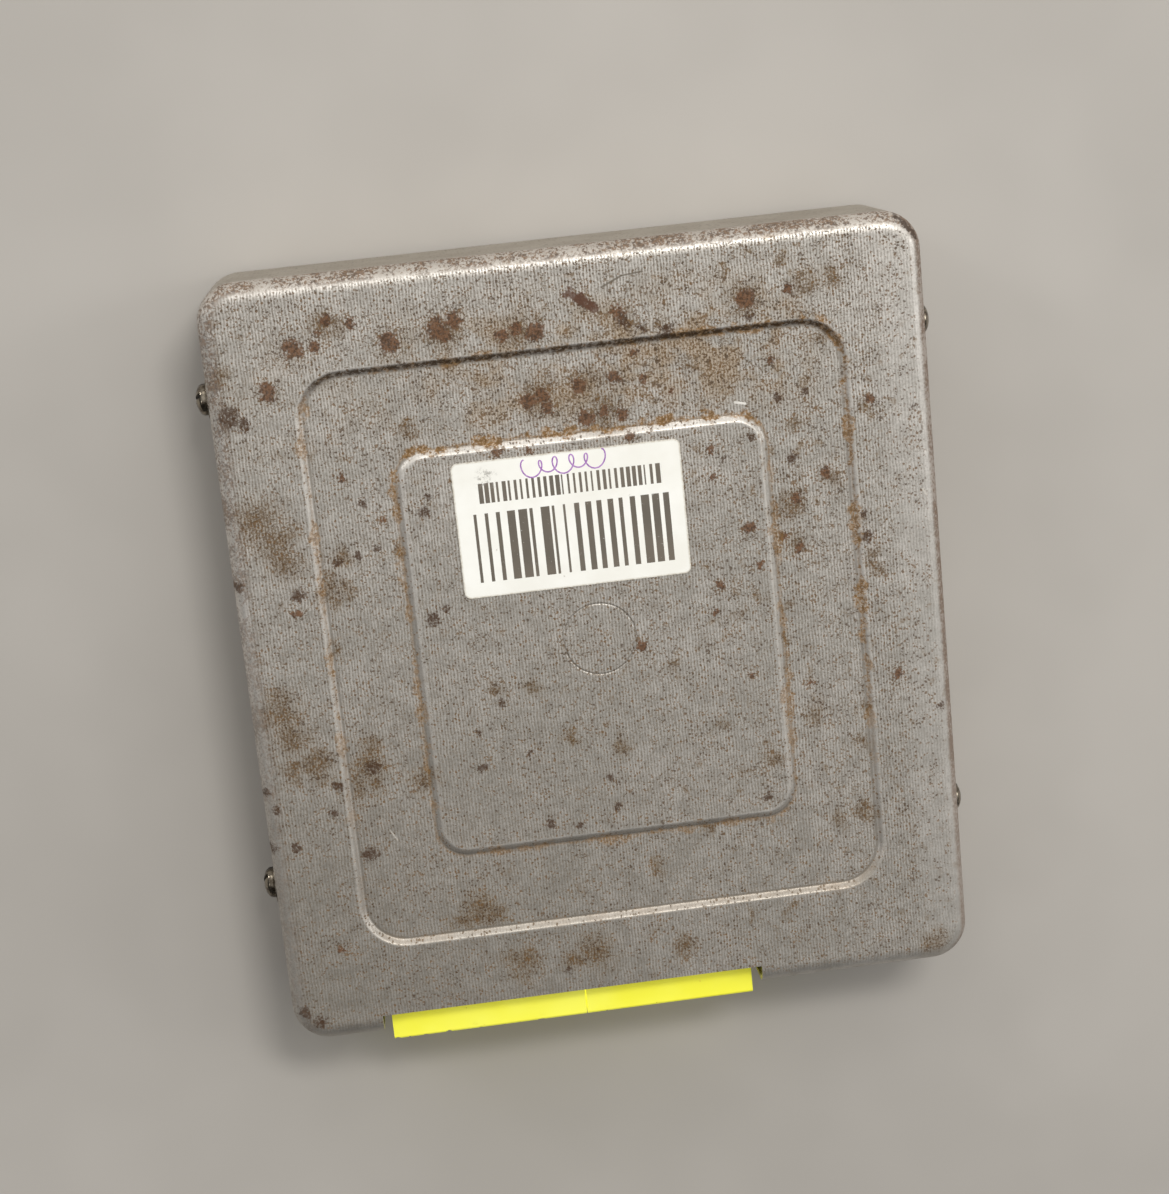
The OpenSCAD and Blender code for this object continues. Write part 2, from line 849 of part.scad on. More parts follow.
module lead_holes(count, pitch, lead_r) {
    line_up(count, pitch) circle(lead_r + lead_fit, $fn = small_fn);
}

module dip_hole() {
    translate([0, -0.125]) circle(0.4, $fn = small_fn);
}

module tab_device_holes() {
    translate([0, device_leg_y]) line_up(3, leg_pitch) circle(0.5, $fn = small_fn);
}

// Tapped standoffs, swaged into the tray
module board_standoffs() {
    color("silver")
        at_board_screws()
            difference() {
                union() {
                    translate([0, 0, tray_t]) post(standoff_r, standoff_h);
                    post(swage_r - thread_fit, tray_t);
                }
                bore(small_screw_r + thread_fit, 0, board_z);
            }
}

module board_screws() {
    color("silver") at_board_screws() translate([0, 0, board_top]) small_screw(board_t + 4.5);
}

// ---------- the heat sink and what is cooled by it ----------

module heat_sink() {
    color("lightgray")
        difference() {
            translate([-sink_len / 2, 0, board_top]) {
                translate([0, sink_face_y, 0]) cube([sink_len, sink_t, sink_h]);
                translate([0, sink_face_y, 0]) cube([sink_len, sink_foot, sink_t]);
            }
            at_sink_screws() bore(small_screw_r + thread_fit, board_top, board_top + sink_t);
            translate([0, 0, board_top + tab_hole_z]) {
                at_transistors() tab_thread();
                at_regulator() tab_thread();
            }
        }
}

// The tapped hole behind a power device
module tab_thread() {
    rotate([90, 0, 0]) bore(small_screw_r + thread_fit, -pad_t - sink_t, 0);
}

module heat_sink_screws() {
    color("silver")
        at_sink_screws()
            translate([0, 0, board_z]) rotate([180, 0, 0]) small_screw(board_t + sink_t - 0.2);
}

module power_transistors() {
    color("dimgray") translate([0, 0, board_top]) at_transistors() tab_device();
}

module voltage_regulator() {
    color("dimgray") translate([0, 0, board_top]) at_regulator() tab_device();
}

module tab_pad() {
    difference() {
        translate([-pad_w / 2, 0, sink_h - pad_h]) cube([pad_w, pad_t, pad_h]);
        translate([0, 0, tab_hole_z]) rotate([90, 0, 0]) bore(small_screw_r + bolt_fit, -pad_t, 0);
    }
}

module transistor_pads() {
    color("white")
        translate([0, 0, board_top]) {
            at_transistors() tab_pad();
            at_regulator() tab_pad();
        }
}

// Insulated screws through the tabs into the heat sink
module transistor_screws() {
    length = tab_t + pad_t + sink_t - 0.3;
    color("silver")
        translate([0, 0, board_top + tab_hole_z]) {
            at_transistors() translate([0, -tab_t, 0]) rotate([90, 0, 0]) small_screw(length);
            at_regulator() translate([0, -tab_t, 0]) rotate([90, 0, 0]) small_screw(length);
        }
}

// A strip clipped over the heat sink that presses on the cover and earths it
module ground_spring() {
    strip_t = 0.4;
    grip = 5;
    rise = case_h - cover_t - sink_top_z;
    color("gold")
        translate([sink_len / 2 - grip - 4, sink_face_y, sink_top_z]) {
            for (y = [-strip_t, sink_t])
                translate([0, y, -grip]) cube([grip, strip_t, grip + strip_t]);
            translate([0, sink_t, 0])
                rotate([90, 0, 0])
                    linear_extrude(sink_t)
                        polygon([[0, 0], [grip, 0], [grip, strip_t], [1.2, strip_t],
                            [3, rise - strip_t], [5, rise - strip_t], [7, rise - 2.5 * strip_t],
                            [7.3, rise - 1.6 * strip_t], [5.2, rise], [2.8, rise], [0, strip_t]]);
        }
}

// ---------- the chips ----------

// A large chip with legs along all four sides
module microcontroller() {
    color("black")
        translate([0, 0, board_top])
            at_microcontroller() {
                flat_chip(micro_body, micro_pitch, micro_legs);
                rotate([0, 0, 90])
                    two_rows(micro_legs, micro_pitch, micro_body[0])
                        flat_leg(micro_body[2] * 0.6, micro_pitch * 0.4);
            }
}

module memory_socket() {
    groove_w = 1;
    end_wall = 0.6;
    color("black")
        translate([0, 0, board_top])
            at_memory() {
                difference() {
                    translate([-socket_body[0] / 2, -socket_body[1] / 2, 0]) cube(socket_body);
                    translate([-socket_window[0] / 2, -socket_window[1] / 2, -cut])
                        cube([socket_window[0], socket_window[1], socket_body[2] + 2 * cut]);
                    for (side = [0, 180])
                        rotate([0, 0, side])
                            translate([-socket_body[0] / 2 + end_wall,
                                memory_row / 2 - 0.125 - groove_w / 2, socket_floor])
                                cube([socket_body[0] - 2 * end_wall, groove_w, socket_body[2]]);
                }
                two_rows(memory_legs, leg_pitch, memory_row)
                    translate([-0.25, -0.25, -board_t - lead_tail])
                        cube([0.5, 0.25, board_t + lead_tail]);
            }
}

// A ceramic memory with a round window, plugged into its socket
module memory_chip() {
    stand = socket_body[2] - socket_floor + 0.3;
    color("brown")
        translate([0, 0, board_top + socket_floor])
            at_memory()
                difference() {
                    dip_chip(memory_body, stand, memory_legs, memory_row, 0);
                    translate([0, 0, stand + memory_body[2] - 0.3]) post(4.2, cut);
                }
}

module driver_chips() {
    color("black")
        translate([0, 0, board_top])
            at_drivers()
                dip_chip(driver_body, 0.6, driver_legs, driver_row, board_t + lead_tail);
}

module input_chips() {
    color("black")
        translate([0, 0, board_top]) at_input_chips() flat_chip(input_body, input_pitch, 8);
}

// Ceramic plates on edge, each with a row of legs and two coated chips
module hybrid_modules() {
    face_y = -hybrid_plate[1] / 2;
    color("darkblue")
        translate([0, 0, board_top])
            at_hybrids() {
                translate([-hybrid_plate[0] / 2, face_y, hybrid_lift]) cube(hybrid_plate);
                translate([-9, face_y - 1.6, hybrid_lift + 3]) cube([8, 1.6, 7]);
                translate([3, face_y - 1.2, hybrid_lift + 4]) cube([6, 1.2, 5]);
                line_up(hybrid_legs, leg_pitch) {
                    translate([-0.6, -0.25, 0]) cube([1.2, 0.5, hybrid_lift]);
                    lead(0.25);
                }
            }
}

// A flat oval can on a flange
module clock_crystal() {
    color("silver")
        translate([0, 0, board_top])
            at_crystal() {
                round_block(crystal_flange[0], crystal_flange[1], crystal_flange[2],
                    crystal_flange[1] / 2 - 0.05);
                translate([0, 0, crystal_flange[2]])
                    rolled_block(crystal_can[0], crystal_can[1], crystal_can[2],
                        crystal_can[1] / 2 - 0.05, 0.6);
                line_up(2, crystal_span) lead(thin_lead_r);
            }
}

// ---------- capacitors, resistors and the rest ----------

module main_capacitor() {
    color("darkblue") translate([0, 0, board_top]) at_main_capacitor() can_capacitor(big_can);
}

module small_capacitors() {
    color("darkblue") translate([0, 0, board_top]) at_small_capacitors() can_capacitor(small_can);
}

module film_capacitors() {
    color("firebrick")
        translate([0, 0, board_top])
            at_films() {
                round_block(film_body[0], film_body[1], film_body[2], 1);
                line_up(2, film_span) lead(thick_lead_r);
            }
}

module disc_capacitors() {
    color("peru") translate([0, 0, board_top]) at_discs() disc_part(disc_size, disc_span);
}

module resistors() {
    color("tan")
        translate([0, 0, board_top])
            at_resistors() axial_part(resistor_size, resistor_span, thin_lead_r);
}

module diodes() {
    color("black")
        translate([0, 0, board_top]) at_diodes() axial_part(diode_size, diode_span, thick_lead_r);
}

// Ceramic blocks held off the board by stepped leads
module power_resistors() {
    color("white")
        translate([0, 0, board_top])
            at_power_resistors() {
                translate([-power_body[0] / 2, -power_body[1] / 2, power_lift]) cube(power_body);
                line_up(2, power_span) {
                    post(thick_lead_r * 2, power_lift);
                    lead(thick_lead_r);
                }
            }
}

module resistor_networks() {
    color("black")
        translate([0, 0, board_top])
            at_networks() {
                translate([-network_body[0] / 2, -network_body[1] / 2, 0]) cube(network_body);
                line_up(network_legs, leg_pitch) lead(0.25);
            }
}

// Ferrite bobbins standing on their flanges
module choke_cores() {
    color("dimgray")
        translate([0, 0, board_top])
            at_chokes() {
                post(choke_r, choke_flange);
                post(choke_core_r, choke_h);
                translate([0, 0, choke_h - choke_flange]) post(choke_r, choke_flange);
                line_up(2, choke_span) lead(thick_lead_r);
            }
}

// Thick wire wound on each bobbin, ribbed by its outer turns
module choke_windings() {
    turn_h = 2 * choke_wire_r;
    turns = floor((choke_h - 2 * choke_flange) / turn_h);
    inner_r = choke_core_r + 0.05;
    depth = choke_r - choke_core_r - turn_h - 0.8;
    color("chocolate")
        translate([0, 0, board_top + choke_flange])
            at_chokes()
                rotate_extrude($fn = round_fn) {
                    translate([inner_r, 0]) square([depth, turns * turn_h]);
                    for (i = [0:turns - 1])
                        translate([inner_r + depth, (i + 0.5) * turn_h])
                            circle(choke_wire_r, $fn = small_fn);
                }
}

module surge_absorber() {
    color("royalblue")
        translate([0, 0, board_top])
            at_surge_absorber() disc_part(absorber_size, absorber_span);
}

top_cover();
base_tray();
case_screws();
case_screw_washers();
clinch_nuts();
left_plug_header();
right_plug_header();
left_header_pins();
right_header_pins();
header_screws();
circuit_board();
board_standoffs();
board_screws();
insulating_sheet();
heat_sink();
heat_sink_screws();
power_transistors();
transistor_pads();
transistor_screws();
voltage_regulator();
microcontroller();
memory_socket();
memory_chip();
driver_chips();
input_chips();
hybrid_modules();
clock_crystal();
main_capacitor();
small_capacitors();
film_capacitors();
disc_capacitors();
resistors();
power_resistors();
diodes();
resistor_networks();
choke_cores();
choke_windings();
surge_absorber();
ground_spring();
paper_label();
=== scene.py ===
"""Dresses an engine control unit: a closed case of pressed sheet steel, worn and
rust-spotted, with two yellow plug headers at one end and a paper label on top."""

from math import cos, pi, radians, sin

import bmesh
import bpy
from mathutils import Matrix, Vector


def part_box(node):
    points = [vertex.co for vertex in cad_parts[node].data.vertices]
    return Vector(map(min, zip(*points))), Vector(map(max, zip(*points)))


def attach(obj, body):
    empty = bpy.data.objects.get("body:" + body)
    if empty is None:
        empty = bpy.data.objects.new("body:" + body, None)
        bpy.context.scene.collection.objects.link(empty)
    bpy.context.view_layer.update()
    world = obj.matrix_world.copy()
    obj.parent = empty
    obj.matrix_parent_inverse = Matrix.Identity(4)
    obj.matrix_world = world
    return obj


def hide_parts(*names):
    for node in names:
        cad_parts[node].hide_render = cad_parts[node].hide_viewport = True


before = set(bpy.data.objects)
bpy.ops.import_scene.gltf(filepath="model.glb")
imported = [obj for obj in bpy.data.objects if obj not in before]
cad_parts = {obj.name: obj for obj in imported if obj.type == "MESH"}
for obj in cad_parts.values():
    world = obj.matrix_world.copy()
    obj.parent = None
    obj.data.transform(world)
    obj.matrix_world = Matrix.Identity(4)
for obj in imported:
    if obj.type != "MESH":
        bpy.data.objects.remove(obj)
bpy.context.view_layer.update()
bpy.ops.object.select_all(action="DESELECT")
MM = 0.001

# ---- Top cover --------------------------------------------------------------
# The lid of the case, drawn from 1 mm zinc-coated steel sheet: deep walls, a
# rolled edge all round, a shallow recess and a raised island in its middle. It
# has rusted in spots and along its bends. Four screws hold it to the tray.
COVER_LOW, COVER_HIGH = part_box("top_cover")
CASE_W, CASE_D = (COVER_HIGH - COVER_LOW)[:2]
CASE_TOP = COVER_HIGH.z
SHEET = 1 * MM
CASE_CORNER = 8.5 * MM
CASE_ROLL = 4 * MM
RECESS = (119.2 * MM, 130.2 * MM, 10 * MM)
RECESS_DROP = 1 * MM
ISLAND = (80.6 * MM, 91.4 * MM, 6.5 * MM)
ISLAND_RISE = 0.9 * MM
STEP_RUN = 0.9 * MM
STEP_SOFT = 0.35 * MM
FLAT_RIM = 0.3 * MM
CORNER_STEPS = 12
TOUCH = 1e-5  # heights closer than this are one height
ARRIS = 0.12 * MM
SCREW_YS = (60.5 * MM, -51.5 * MM)
SCREW_Z = 17 * MM
SCREW_HOLE_R = 2.2 * MM
RING_R, RING_WIRE, RING_LIFT = 8 * MM, 0.35 * MM, 0.1 * MM


def deselect():
    bpy.ops.object.select_all(action="DESELECT")


def use(piece):
    """Makes a piece the only one selected and the active one."""
    deselect()
    piece.select_set(True)
    bpy.context.view_layer.objects.active = piece
    return piece


def mode(which):
    bpy.ops.object.mode_set(mode=which)


def pick(piece, kind, test):
    """In edit mode, selects the faces or edges that pass a test, and no others."""
    bpy.ops.mesh.select_mode(type="FACE" if kind == "faces" else "EDGE")
    bpy.ops.mesh.select_all(action="DESELECT")
    shape = bmesh.from_edit_mesh(piece.data)
    for part in getattr(shape, kind):
        if test(part):
            part.select_set(True)
    shape.select_flush_mode()
    bmesh.update_edit_mesh(piece.data)


def rounded_sheet(width, depth, corner, z, down=False, at=(0, 0)):
    """In edit mode, adds a flat face with round corners and leaves it selected."""
    place = (at[0], at[1], z)
    bpy.ops.mesh.select_all(action="DESELECT")
    bpy.ops.mesh.primitive_plane_add(size=1, location=place)
    bpy.ops.transform.resize(value=(width, depth, 1), center_override=place)
    bpy.ops.mesh.bevel(offset=corner, segments=CORNER_STEPS, affect="VERTICES")
    if down:
        bpy.ops.mesh.flip_normals()


def ramp(run, rise):
    """Insets the selected face through a soft S-shaped step, with flat rims."""
    steps = 10
    inset(FLAT_RIM, 0)
    for i in range(steps):
        part = cos(pi * i / steps) - cos(pi * (i + 1) / steps)
        inset(run / steps, rise * part / 2)
    inset(FLAT_RIM, 0)


def roll_over(radius, steps=10):
    """Insets the selected face round a quarter circle, as a sheet's rolled edge."""
    for i in range(steps):
        a, b = pi / 2 * i / steps, pi / 2 * (i + 1) / steps
        inset(radius * (cos(a) - cos(b)), radius * (sin(b) - sin(a)))
    inset(FLAT_RIM, 0)


def inset(width, height):
    bpy.ops.mesh.inset(thickness=width, depth=height, use_even_offset=True)


def bridge(piece, z):
    """Joins the two open rings at one height."""
    pick(piece, "edges", lambda e: e.is_boundary and abs(e.verts[0].co.z - z) < TOUCH)
    bpy.ops.mesh.bridge_edge_loops()


def modify(piece, kind, **settings):
    """Adds a modifier and applies it."""
    use(piece)
    modifier = piece.modifiers.new(kind.lower(), kind)
    for key, value in settings.items():
        setattr(modifier, key, value)
    bpy.ops.object.modifier_apply(modifier=modifier.name)


def carve(piece, cutter, operation="DIFFERENCE"):
    """Cuts a piece with another, or joins them, and deletes the other."""
    modify(piece, "BOOLEAN", object=cutter, operation=operation, solver="EXACT")
    bpy.data.objects.remove(cutter)


def box_cutter(low, high):
    deselect()
    middle = [(a + b) / 2 for a, b in zip(low, high)]
    bpy.ops.mesh.primitive_cube_add(size=1, location=middle)
    size = [b - a for a, b in zip(low, high)]
    cutter = use(bpy.context.object)
    cutter.scale = size
    bpy.ops.object.transform_apply()
    return cutter


def rod(radius, length, place, axis="Z", vertices=48):
    """A cylinder with its middle at a place, along an axis."""
    deselect()
    turn = {"X": (0, pi / 2, 0), "Y": (pi / 2, 0, 0), "Z": (0, 0, 0)}[axis]
    bpy.ops.mesh.primitive_cylinder_add(
        vertices=vertices, radius=radius, depth=length, location=place, rotation=turn
    )
    bpy.ops.object.transform_apply()
    return bpy.context.object


def settle(piece, angle=35):
    """Smooth shading that breaks at sharp edges."""
    use(piece)
    bpy.ops.object.transform_apply()
    bpy.ops.object.shade_smooth_by_angle(angle=radians(angle))
    modify(piece, "WEIGHTED_NORMAL", keep_sharp=True)
    return piece


def empty_shape(name):
    """An empty piece, open in edit mode."""
    deselect()
    bpy.ops.mesh.primitive_plane_add(size=MM)
    piece = bpy.context.object
    piece.name = piece.data.name = name
    mode("EDIT")
    bpy.ops.mesh.delete(type="VERT")
    return piece


def raise_walls(height):
    bpy.ops.mesh.extrude_region_move(TRANSFORM_OT_translate={"value": (0, 0, height)})


def drop_face():
    bpy.ops.mesh.delete(type="ONLY_FACE")


def stepped(shape, z, run, rise, down=False):
    """Adds a rectangle with a soft step round it, and leaves its middle selected."""
    spread = STEP_SOFT + FLAT_RIM
    width, depth, corner = shape
    rounded_sheet(width + 2 * spread, depth + 2 * spread, corner + spread, z, down)
    ramp(run + 2 * STEP_SOFT, rise)


def face_out():
    """Turns all faces outwards and leaves edit mode."""
    bpy.ops.mesh.select_all(action="SELECT")
    bpy.ops.mesh.normals_make_consistent(inside=False)
    mode("OBJECT")


def finish_shell(piece, mouth):
    """Opens a shell at its mouth's height and gives it the sheet's thickness."""
    pick(piece, "faces", lambda f: all(abs(v.co.z - mouth) < TOUCH for v in f.verts))
    drop_face()
    face_out()
    modify(piece, "SOLIDIFY", thickness=SHEET, offset=-1, use_even_offset=True)


def soften(piece, width, segments=2, angle=50):
    modify(piece, "BEVEL", width=width, segments=segments, angle_limit=radians(angle))


cover = empty_shape("case_cover")
rounded_sheet(CASE_W, CASE_D, CASE_CORNER, COVER_LOW.z)
raise_walls(CASE_TOP - CASE_ROLL - COVER_LOW.z)
roll_over(CASE_ROLL)
drop_face()
stepped(RECESS, CASE_TOP, STEP_RUN, -RECESS_DROP)
drop_face()
stepped(ISLAND, CASE_TOP - RECESS_DROP, STEP_RUN, ISLAND_RISE)
bridge(cover, CASE_TOP)
bridge(cover, CASE_TOP - RECESS_DROP)
finish_shell(cover, COVER_LOW.z)

LEFT_LOW, LEFT_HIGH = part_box("left_plug_header")
RIGHT_LOW, RIGHT_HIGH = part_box("right_plug_header")
EAR_W = 7 * MM
CUTOUT_GAP, PAST_ROLL = 1.8 * MM, 0.6 * MM
CUTOUT = (LEFT_LOW.x + EAR_W - CUTOUT_GAP, RIGHT_HIGH.x - EAR_W + CUTOUT_GAP)
carve(
    cover,
    box_cutter(
        (CUTOUT[0], COVER_LOW.y - SHEET, 0),
        (CUTOUT[1], COVER_LOW.y + CASE_ROLL + PAST_ROLL, CASE_TOP + SHEET),
    ),
)
for y in SCREW_YS:
    carve(cover, rod(SCREW_HOLE_R, CASE_W + 4 * SHEET, (0, y, SCREW_Z), "X"))
deselect()
bpy.ops.mesh.primitive_torus_add(
    major_radius=RING_R,
    minor_radius=RING_WIRE,
    major_segments=96,
    minor_segments=16,
    location=(0, 0, CASE_TOP - RECESS_DROP + ISLAND_RISE + RING_LIFT),
)
carve(cover, bpy.context.object)
soften(cover, ARRIS, angle=40)
settle(cover)


def linear(red, green, blue):
    """A colour from 0 to 255 as a paint chart gives it, for a shader."""

    def one(c):
        c /= 255
        return c / 12.92 if c <= 0.04045 else ((c + 0.055) / 1.055) ** 2.4

    return (one(red), one(green), one(blue), 1)


class Graph:
    """Adds shader nodes to a material or a group, and joins them up."""

    def __init__(self, tree, material=None):
        self.tree, self.material = tree, material

    def add(self, kind, inputs=None, **settings):
        made = self.tree.nodes.new("ShaderNode" + kind)
        for key, value in settings.items():
            setattr(made, key, value)
        for key, value in (inputs or {}).items():
            self.join(value, made.inputs[key])
        return made

    def join(self, value, socket):
        if isinstance(value, bpy.types.NodeSocket):
            self.tree.links.new(value, socket)
        elif socket.type == "RGBA" and len(value) == 3:
            socket.default_value = linear(*value)
        else:
            socket.default_value = value

    def math(self, operation, *values, clamp=False):
        inputs = dict(enumerate(values))
        return self.add("Math", inputs, operation=operation, use_clamp=clamp).outputs[0]

    def fold(self, operation, first, *others):
        for other in others:
            first = self.math(operation, first, other)
        return first

    def times(self, *values):
        return self.fold("MULTIPLY", *values)

    def scaled(self, value, factor, added):
        return self.math("MULTIPLY_ADD", value, factor, added)

    def plus(self, *values):
        return self.math("ADD", *values)

    def minus(self, *values):
        return self.math("SUBTRACT", *values)

    def most(self, *values):
        return self.fold("MAXIMUM", *values)

    def least(self, *values):
        return self.math("MINIMUM", *values)

    def size(self, value):
        return self.math("ABSOLUTE", value)

    def vector(self, operation, *values, out=0):
        inputs = dict(enumerate(values))
        return self.add("VectorMath", inputs, operation=operation).outputs[out]

    def fade(self, value, low, high, low_out=0, high_out=1):
        """A smooth step from one value to another."""
        names = ("Value", "From Min", "From Max", "To Min", "To Max")
        inputs = dict(zip(names, (value, low, high, low_out, high_out)))
        return self.add("MapRange", inputs, interpolation_type="SMOOTHSTEP").outputs[0]

    def noise(self, place, scale, detail=2, rough=0.5, out="Fac"):
        inputs = {"Vector": place, "Scale": scale, "Detail": detail, "Roughness": rough}
        return self.add("TexNoise", inputs).outputs[out]

    def blend(self, share, first, second):
        """Mixes two colours by a share."""
        made = self.add("Mix", data_type="RGBA")
        for key, value in (("Factor", share), ("A", first), ("B", second)):
            self.join(value, made.inputs[key])
        return made.outputs["Result"]

    def paint(self, mask, tone, share=None):
        """Lays a tone over the graph's colour where a mask is high."""
        mask = mask if share is None else self.times(mask, share)
        self.colour = self.blend(mask, self.colour, tone)

    def place(self):
        """The place on the piece, in millimetres."""
        spot = self.add("TexCoord").outputs["Object"]
        return self.add(
            "Mapping", {"Vector": spot, "Scale": (1000, 1000, 1000)}
        ).outputs[0]

    def group(self, which, inputs):
        made = self.tree.nodes.new("ShaderNodeGroup")
        made.node_tree = which
        for key, value in inputs.items():
            self.join(value, made.inputs[key])
        return made.outputs

    def split(self, place):
        return self.add("SeparateXYZ", {0: place}).outputs

    def vector_of(self, *parts):
        return self.add("CombineXYZ", dict(enumerate(parts))).outputs[0]

    def chance(self, **seed):
        """A number by chance for each seed, W or Vector."""
        kind = "1D" if "W" in seed else "3D"
        return self.add("TexWhiteNoise", seed, noise_dimensions=kind).outputs[0]

    def specks(self, place, scale, amount):
        inputs = {"Place": place, "Scale": scale, "Amount": amount}
        return self.group(SPECKS, inputs)["Specks"]

    def outside(self, place, half_x, half_y, corner):
        """How far a place lies outside a rectangle with round corners, in mm."""
        inputs = {"Place": place, "Half X": half_x, "Half Y": half_y, "Corner": corner}
        return self.group(ROUND_FRAME, inputs)["Distance"]

    def bump(self, height, distance, strength=1):
        inputs = {"Height": height, "Distance": distance, "Strength": strength}
        return self.add("Bump", inputs).outputs["Normal"]

    def surface(self, **sockets):
        """The shader, with its sockets by name and _ for a space. Ends a material."""
        inputs = {key.replace("_", " "): value for key, value in sockets.items()}
        shader = self.add("BsdfPrincipled", inputs)
        output = self.tree.nodes.new("ShaderNodeOutputMaterial")
        self.tree.links.new(shader.outputs[0], output.inputs["Surface"])
        return self.material


def new_material(name):
    made = bpy.data.materials.new(name)
    made.use_nodes = True
    made.node_tree.nodes.clear()
    return Graph(made.node_tree, made)


def new_group(name, inputs, outputs):
    """An empty group with its sockets: returns it, its graph and its input's
    sockets, and its output node."""
    tree = bpy.data.node_groups.new(name, "ShaderNodeTree")
    kinds = {"v": "NodeSocketVector", "f": "NodeSocketFloat", "c": "NodeSocketColor"}
    for side, sockets in (("INPUT", inputs), ("OUTPUT", outputs)):
        for label, kind in sockets.items():
            tree.interface.new_socket(label, in_out=side, socket_type=kinds[kind])
    start = tree.nodes.new("NodeGroupInput")
    end = tree.nodes.new("NodeGroupOutput")
    return tree, Graph(tree), start.outputs, end.inputs


THREAD_PITCH = 0.69  # mm


def linen_group():
    """Fine threads along Y with short dark dashes on them, as in cloth."""
    tree, g, given, result = new_group(
        "linen_grain", {"Place": "v", "Amount": "f"}, {"Dashes": "f", "Threads": "f"}
    )
    drift = g.vector(
        "SUBTRACT", g.noise(given["Place"], 0.35, 3, 0.6, "Color"), (0.5,) * 3
    )
    bent = g.vector("MULTIPLY_ADD", drift, (0.9, 2, 0), given["Place"])
    x, y, _ = g.split(bent)
    column = g.math("DIVIDE", x, THREAD_PITCH)
    index = g.math("FLOOR", column)
    hop = g.chance(W=index)
    across = g.fade(g.math("PINGPONG", column, 0.5), 0.06, 0.42)
    layers = []
    for length, seed in ((0.8, 3), (0.5, 31)):
        run = g.scaled(hop, 9 + seed, g.math("DIVIDE", y, length))
        cell = g.vector_of(index, g.math("FLOOR", run), seed)
        chance = g.chance(Vector=cell)
        along = g.fade(g.math("PINGPONG", run, 0.5), 0.02, 0.22)
        there = g.fade(g.minus(given["Amount"], chance), -0.12, 0.5)
        layers.append(g.times(there, along))
    g.join(g.times(across, g.most(*layers)), result["Dashes"])
    g.join(across, result["Threads"])
    return tree


def speckle_group():
    """Small dark dots, in number and size as asked."""
    tree, g, given, result = new_group(
        "specks", {"Place": "v", "Scale": "f", "Amount": "f"}, {"Specks": "f"}
    )
    warp = g.noise(given["Place"], 1.7, 1, out="Color")
    place = g.vector("MULTIPLY_ADD", warp, (0.7,) * 3, given["Place"])
    dot = g.add("TexVoronoi", {"Vector": place, "Scale": given["Scale"]})
    chance = g.add("SeparateColor", {0: dot.outputs["Color"]}).outputs[0]
    reach = g.times(g.minus(given["Amount"], chance), 1.5)
    reach = g.least(reach, 0.42)
    gap = g.minus(reach, dot.outputs["Distance"])
    g.join(g.fade(gap, -0.04, 0.08), result["Specks"])
    return tree


def round_frame_group():
    """How far a place lies outside a rectangle with round corners, in mm."""
    tree, g, given, result = new_group(
        "round_frame",
        {"Place": "v", "Half X": "f", "Half Y": "f", "Corner": "f"},
        {"Distance": "f"},
    )
    x, y, _ = g.split(given["Place"])

    def beyond(value, half):
        straight = g.minus(half, given["Corner"])
        return g.minus(g.size(value), straight)

    far_x, far_y = beyond(x, given["Half X"]), beyond(y, given["Half Y"])
    outside = g.vector_of(g.most(far_x, 0), g.most(far_y, 0))
    length = g.vector("LENGTH", outside, out=1)
    inside = g.least(g.most(far_x, far_y), 0)
    reach = g.minus(g.plus(length, inside), given["Corner"])
    g.join(reach, result["Distance"])
    return tree


LINEN, SPECKS, ROUND_FRAME = linen_group(), speckle_group(), round_frame_group()

# Rust spots on the top: x, y and radius in mm, as corrosion has scattered them
RUST_SPOTS = [
    (-58.5, 71, 2.3), (-54, 71, 1.4), (-51, 76, 1.2), (-53, 74, 0.9), (-46, 75, 1.2),
    (-38, 70, 2.4), (-28, 72, 2.3), (-24, 73, 1.9), (-26, 70, 1.2), (-14, 69, 1.6),
    (-11, 70, 1.2), (-7, 69, 2.1), (-65, 63, 1.7), (-65, 61.5, 1.5), (-10, 54, 1.8),
    (-7, 55, 1.8), (-6, 52, 1.4), (1, 56, 1.9), (9, 57, 1.4), (15, 56, 0.8),
    (2, 49, 1.8), (6, 50, 1.3), (10, 49, 1.4), (-52, 42, 1.1), (-44, 32, 0.8),
    (-18, 44, 1.2), (-11, 43.5, 0.9), (-65, 14, 1), (11, 71, 1.7), (38.5, 71, 2.3),
    (48, 72, 1), (43, 57, 1), (53, 31, 1.2), (46, 26, 1.4), (35, 21, 1.4),
    (46, 15, 1.2), (43, 18, 0.9), (28, 39, 0.9), (28, 33, 0.7), (37, 12, 0.9),
    (28, 9, 0.9), (26, 3, 0.8), (11, 44, 1.2), (9, -3, 1.2), (33, -12, 0.9),
    (46, -16, 0.8), (66, -16, 1.3), (-65, -64, 0.9), (14, 62, 0.9), (21, 53, 0.8),
    (3, 74.5, 1.3), (5, 73, 1), (64, 46, 0.9),
]  # fmt: skip
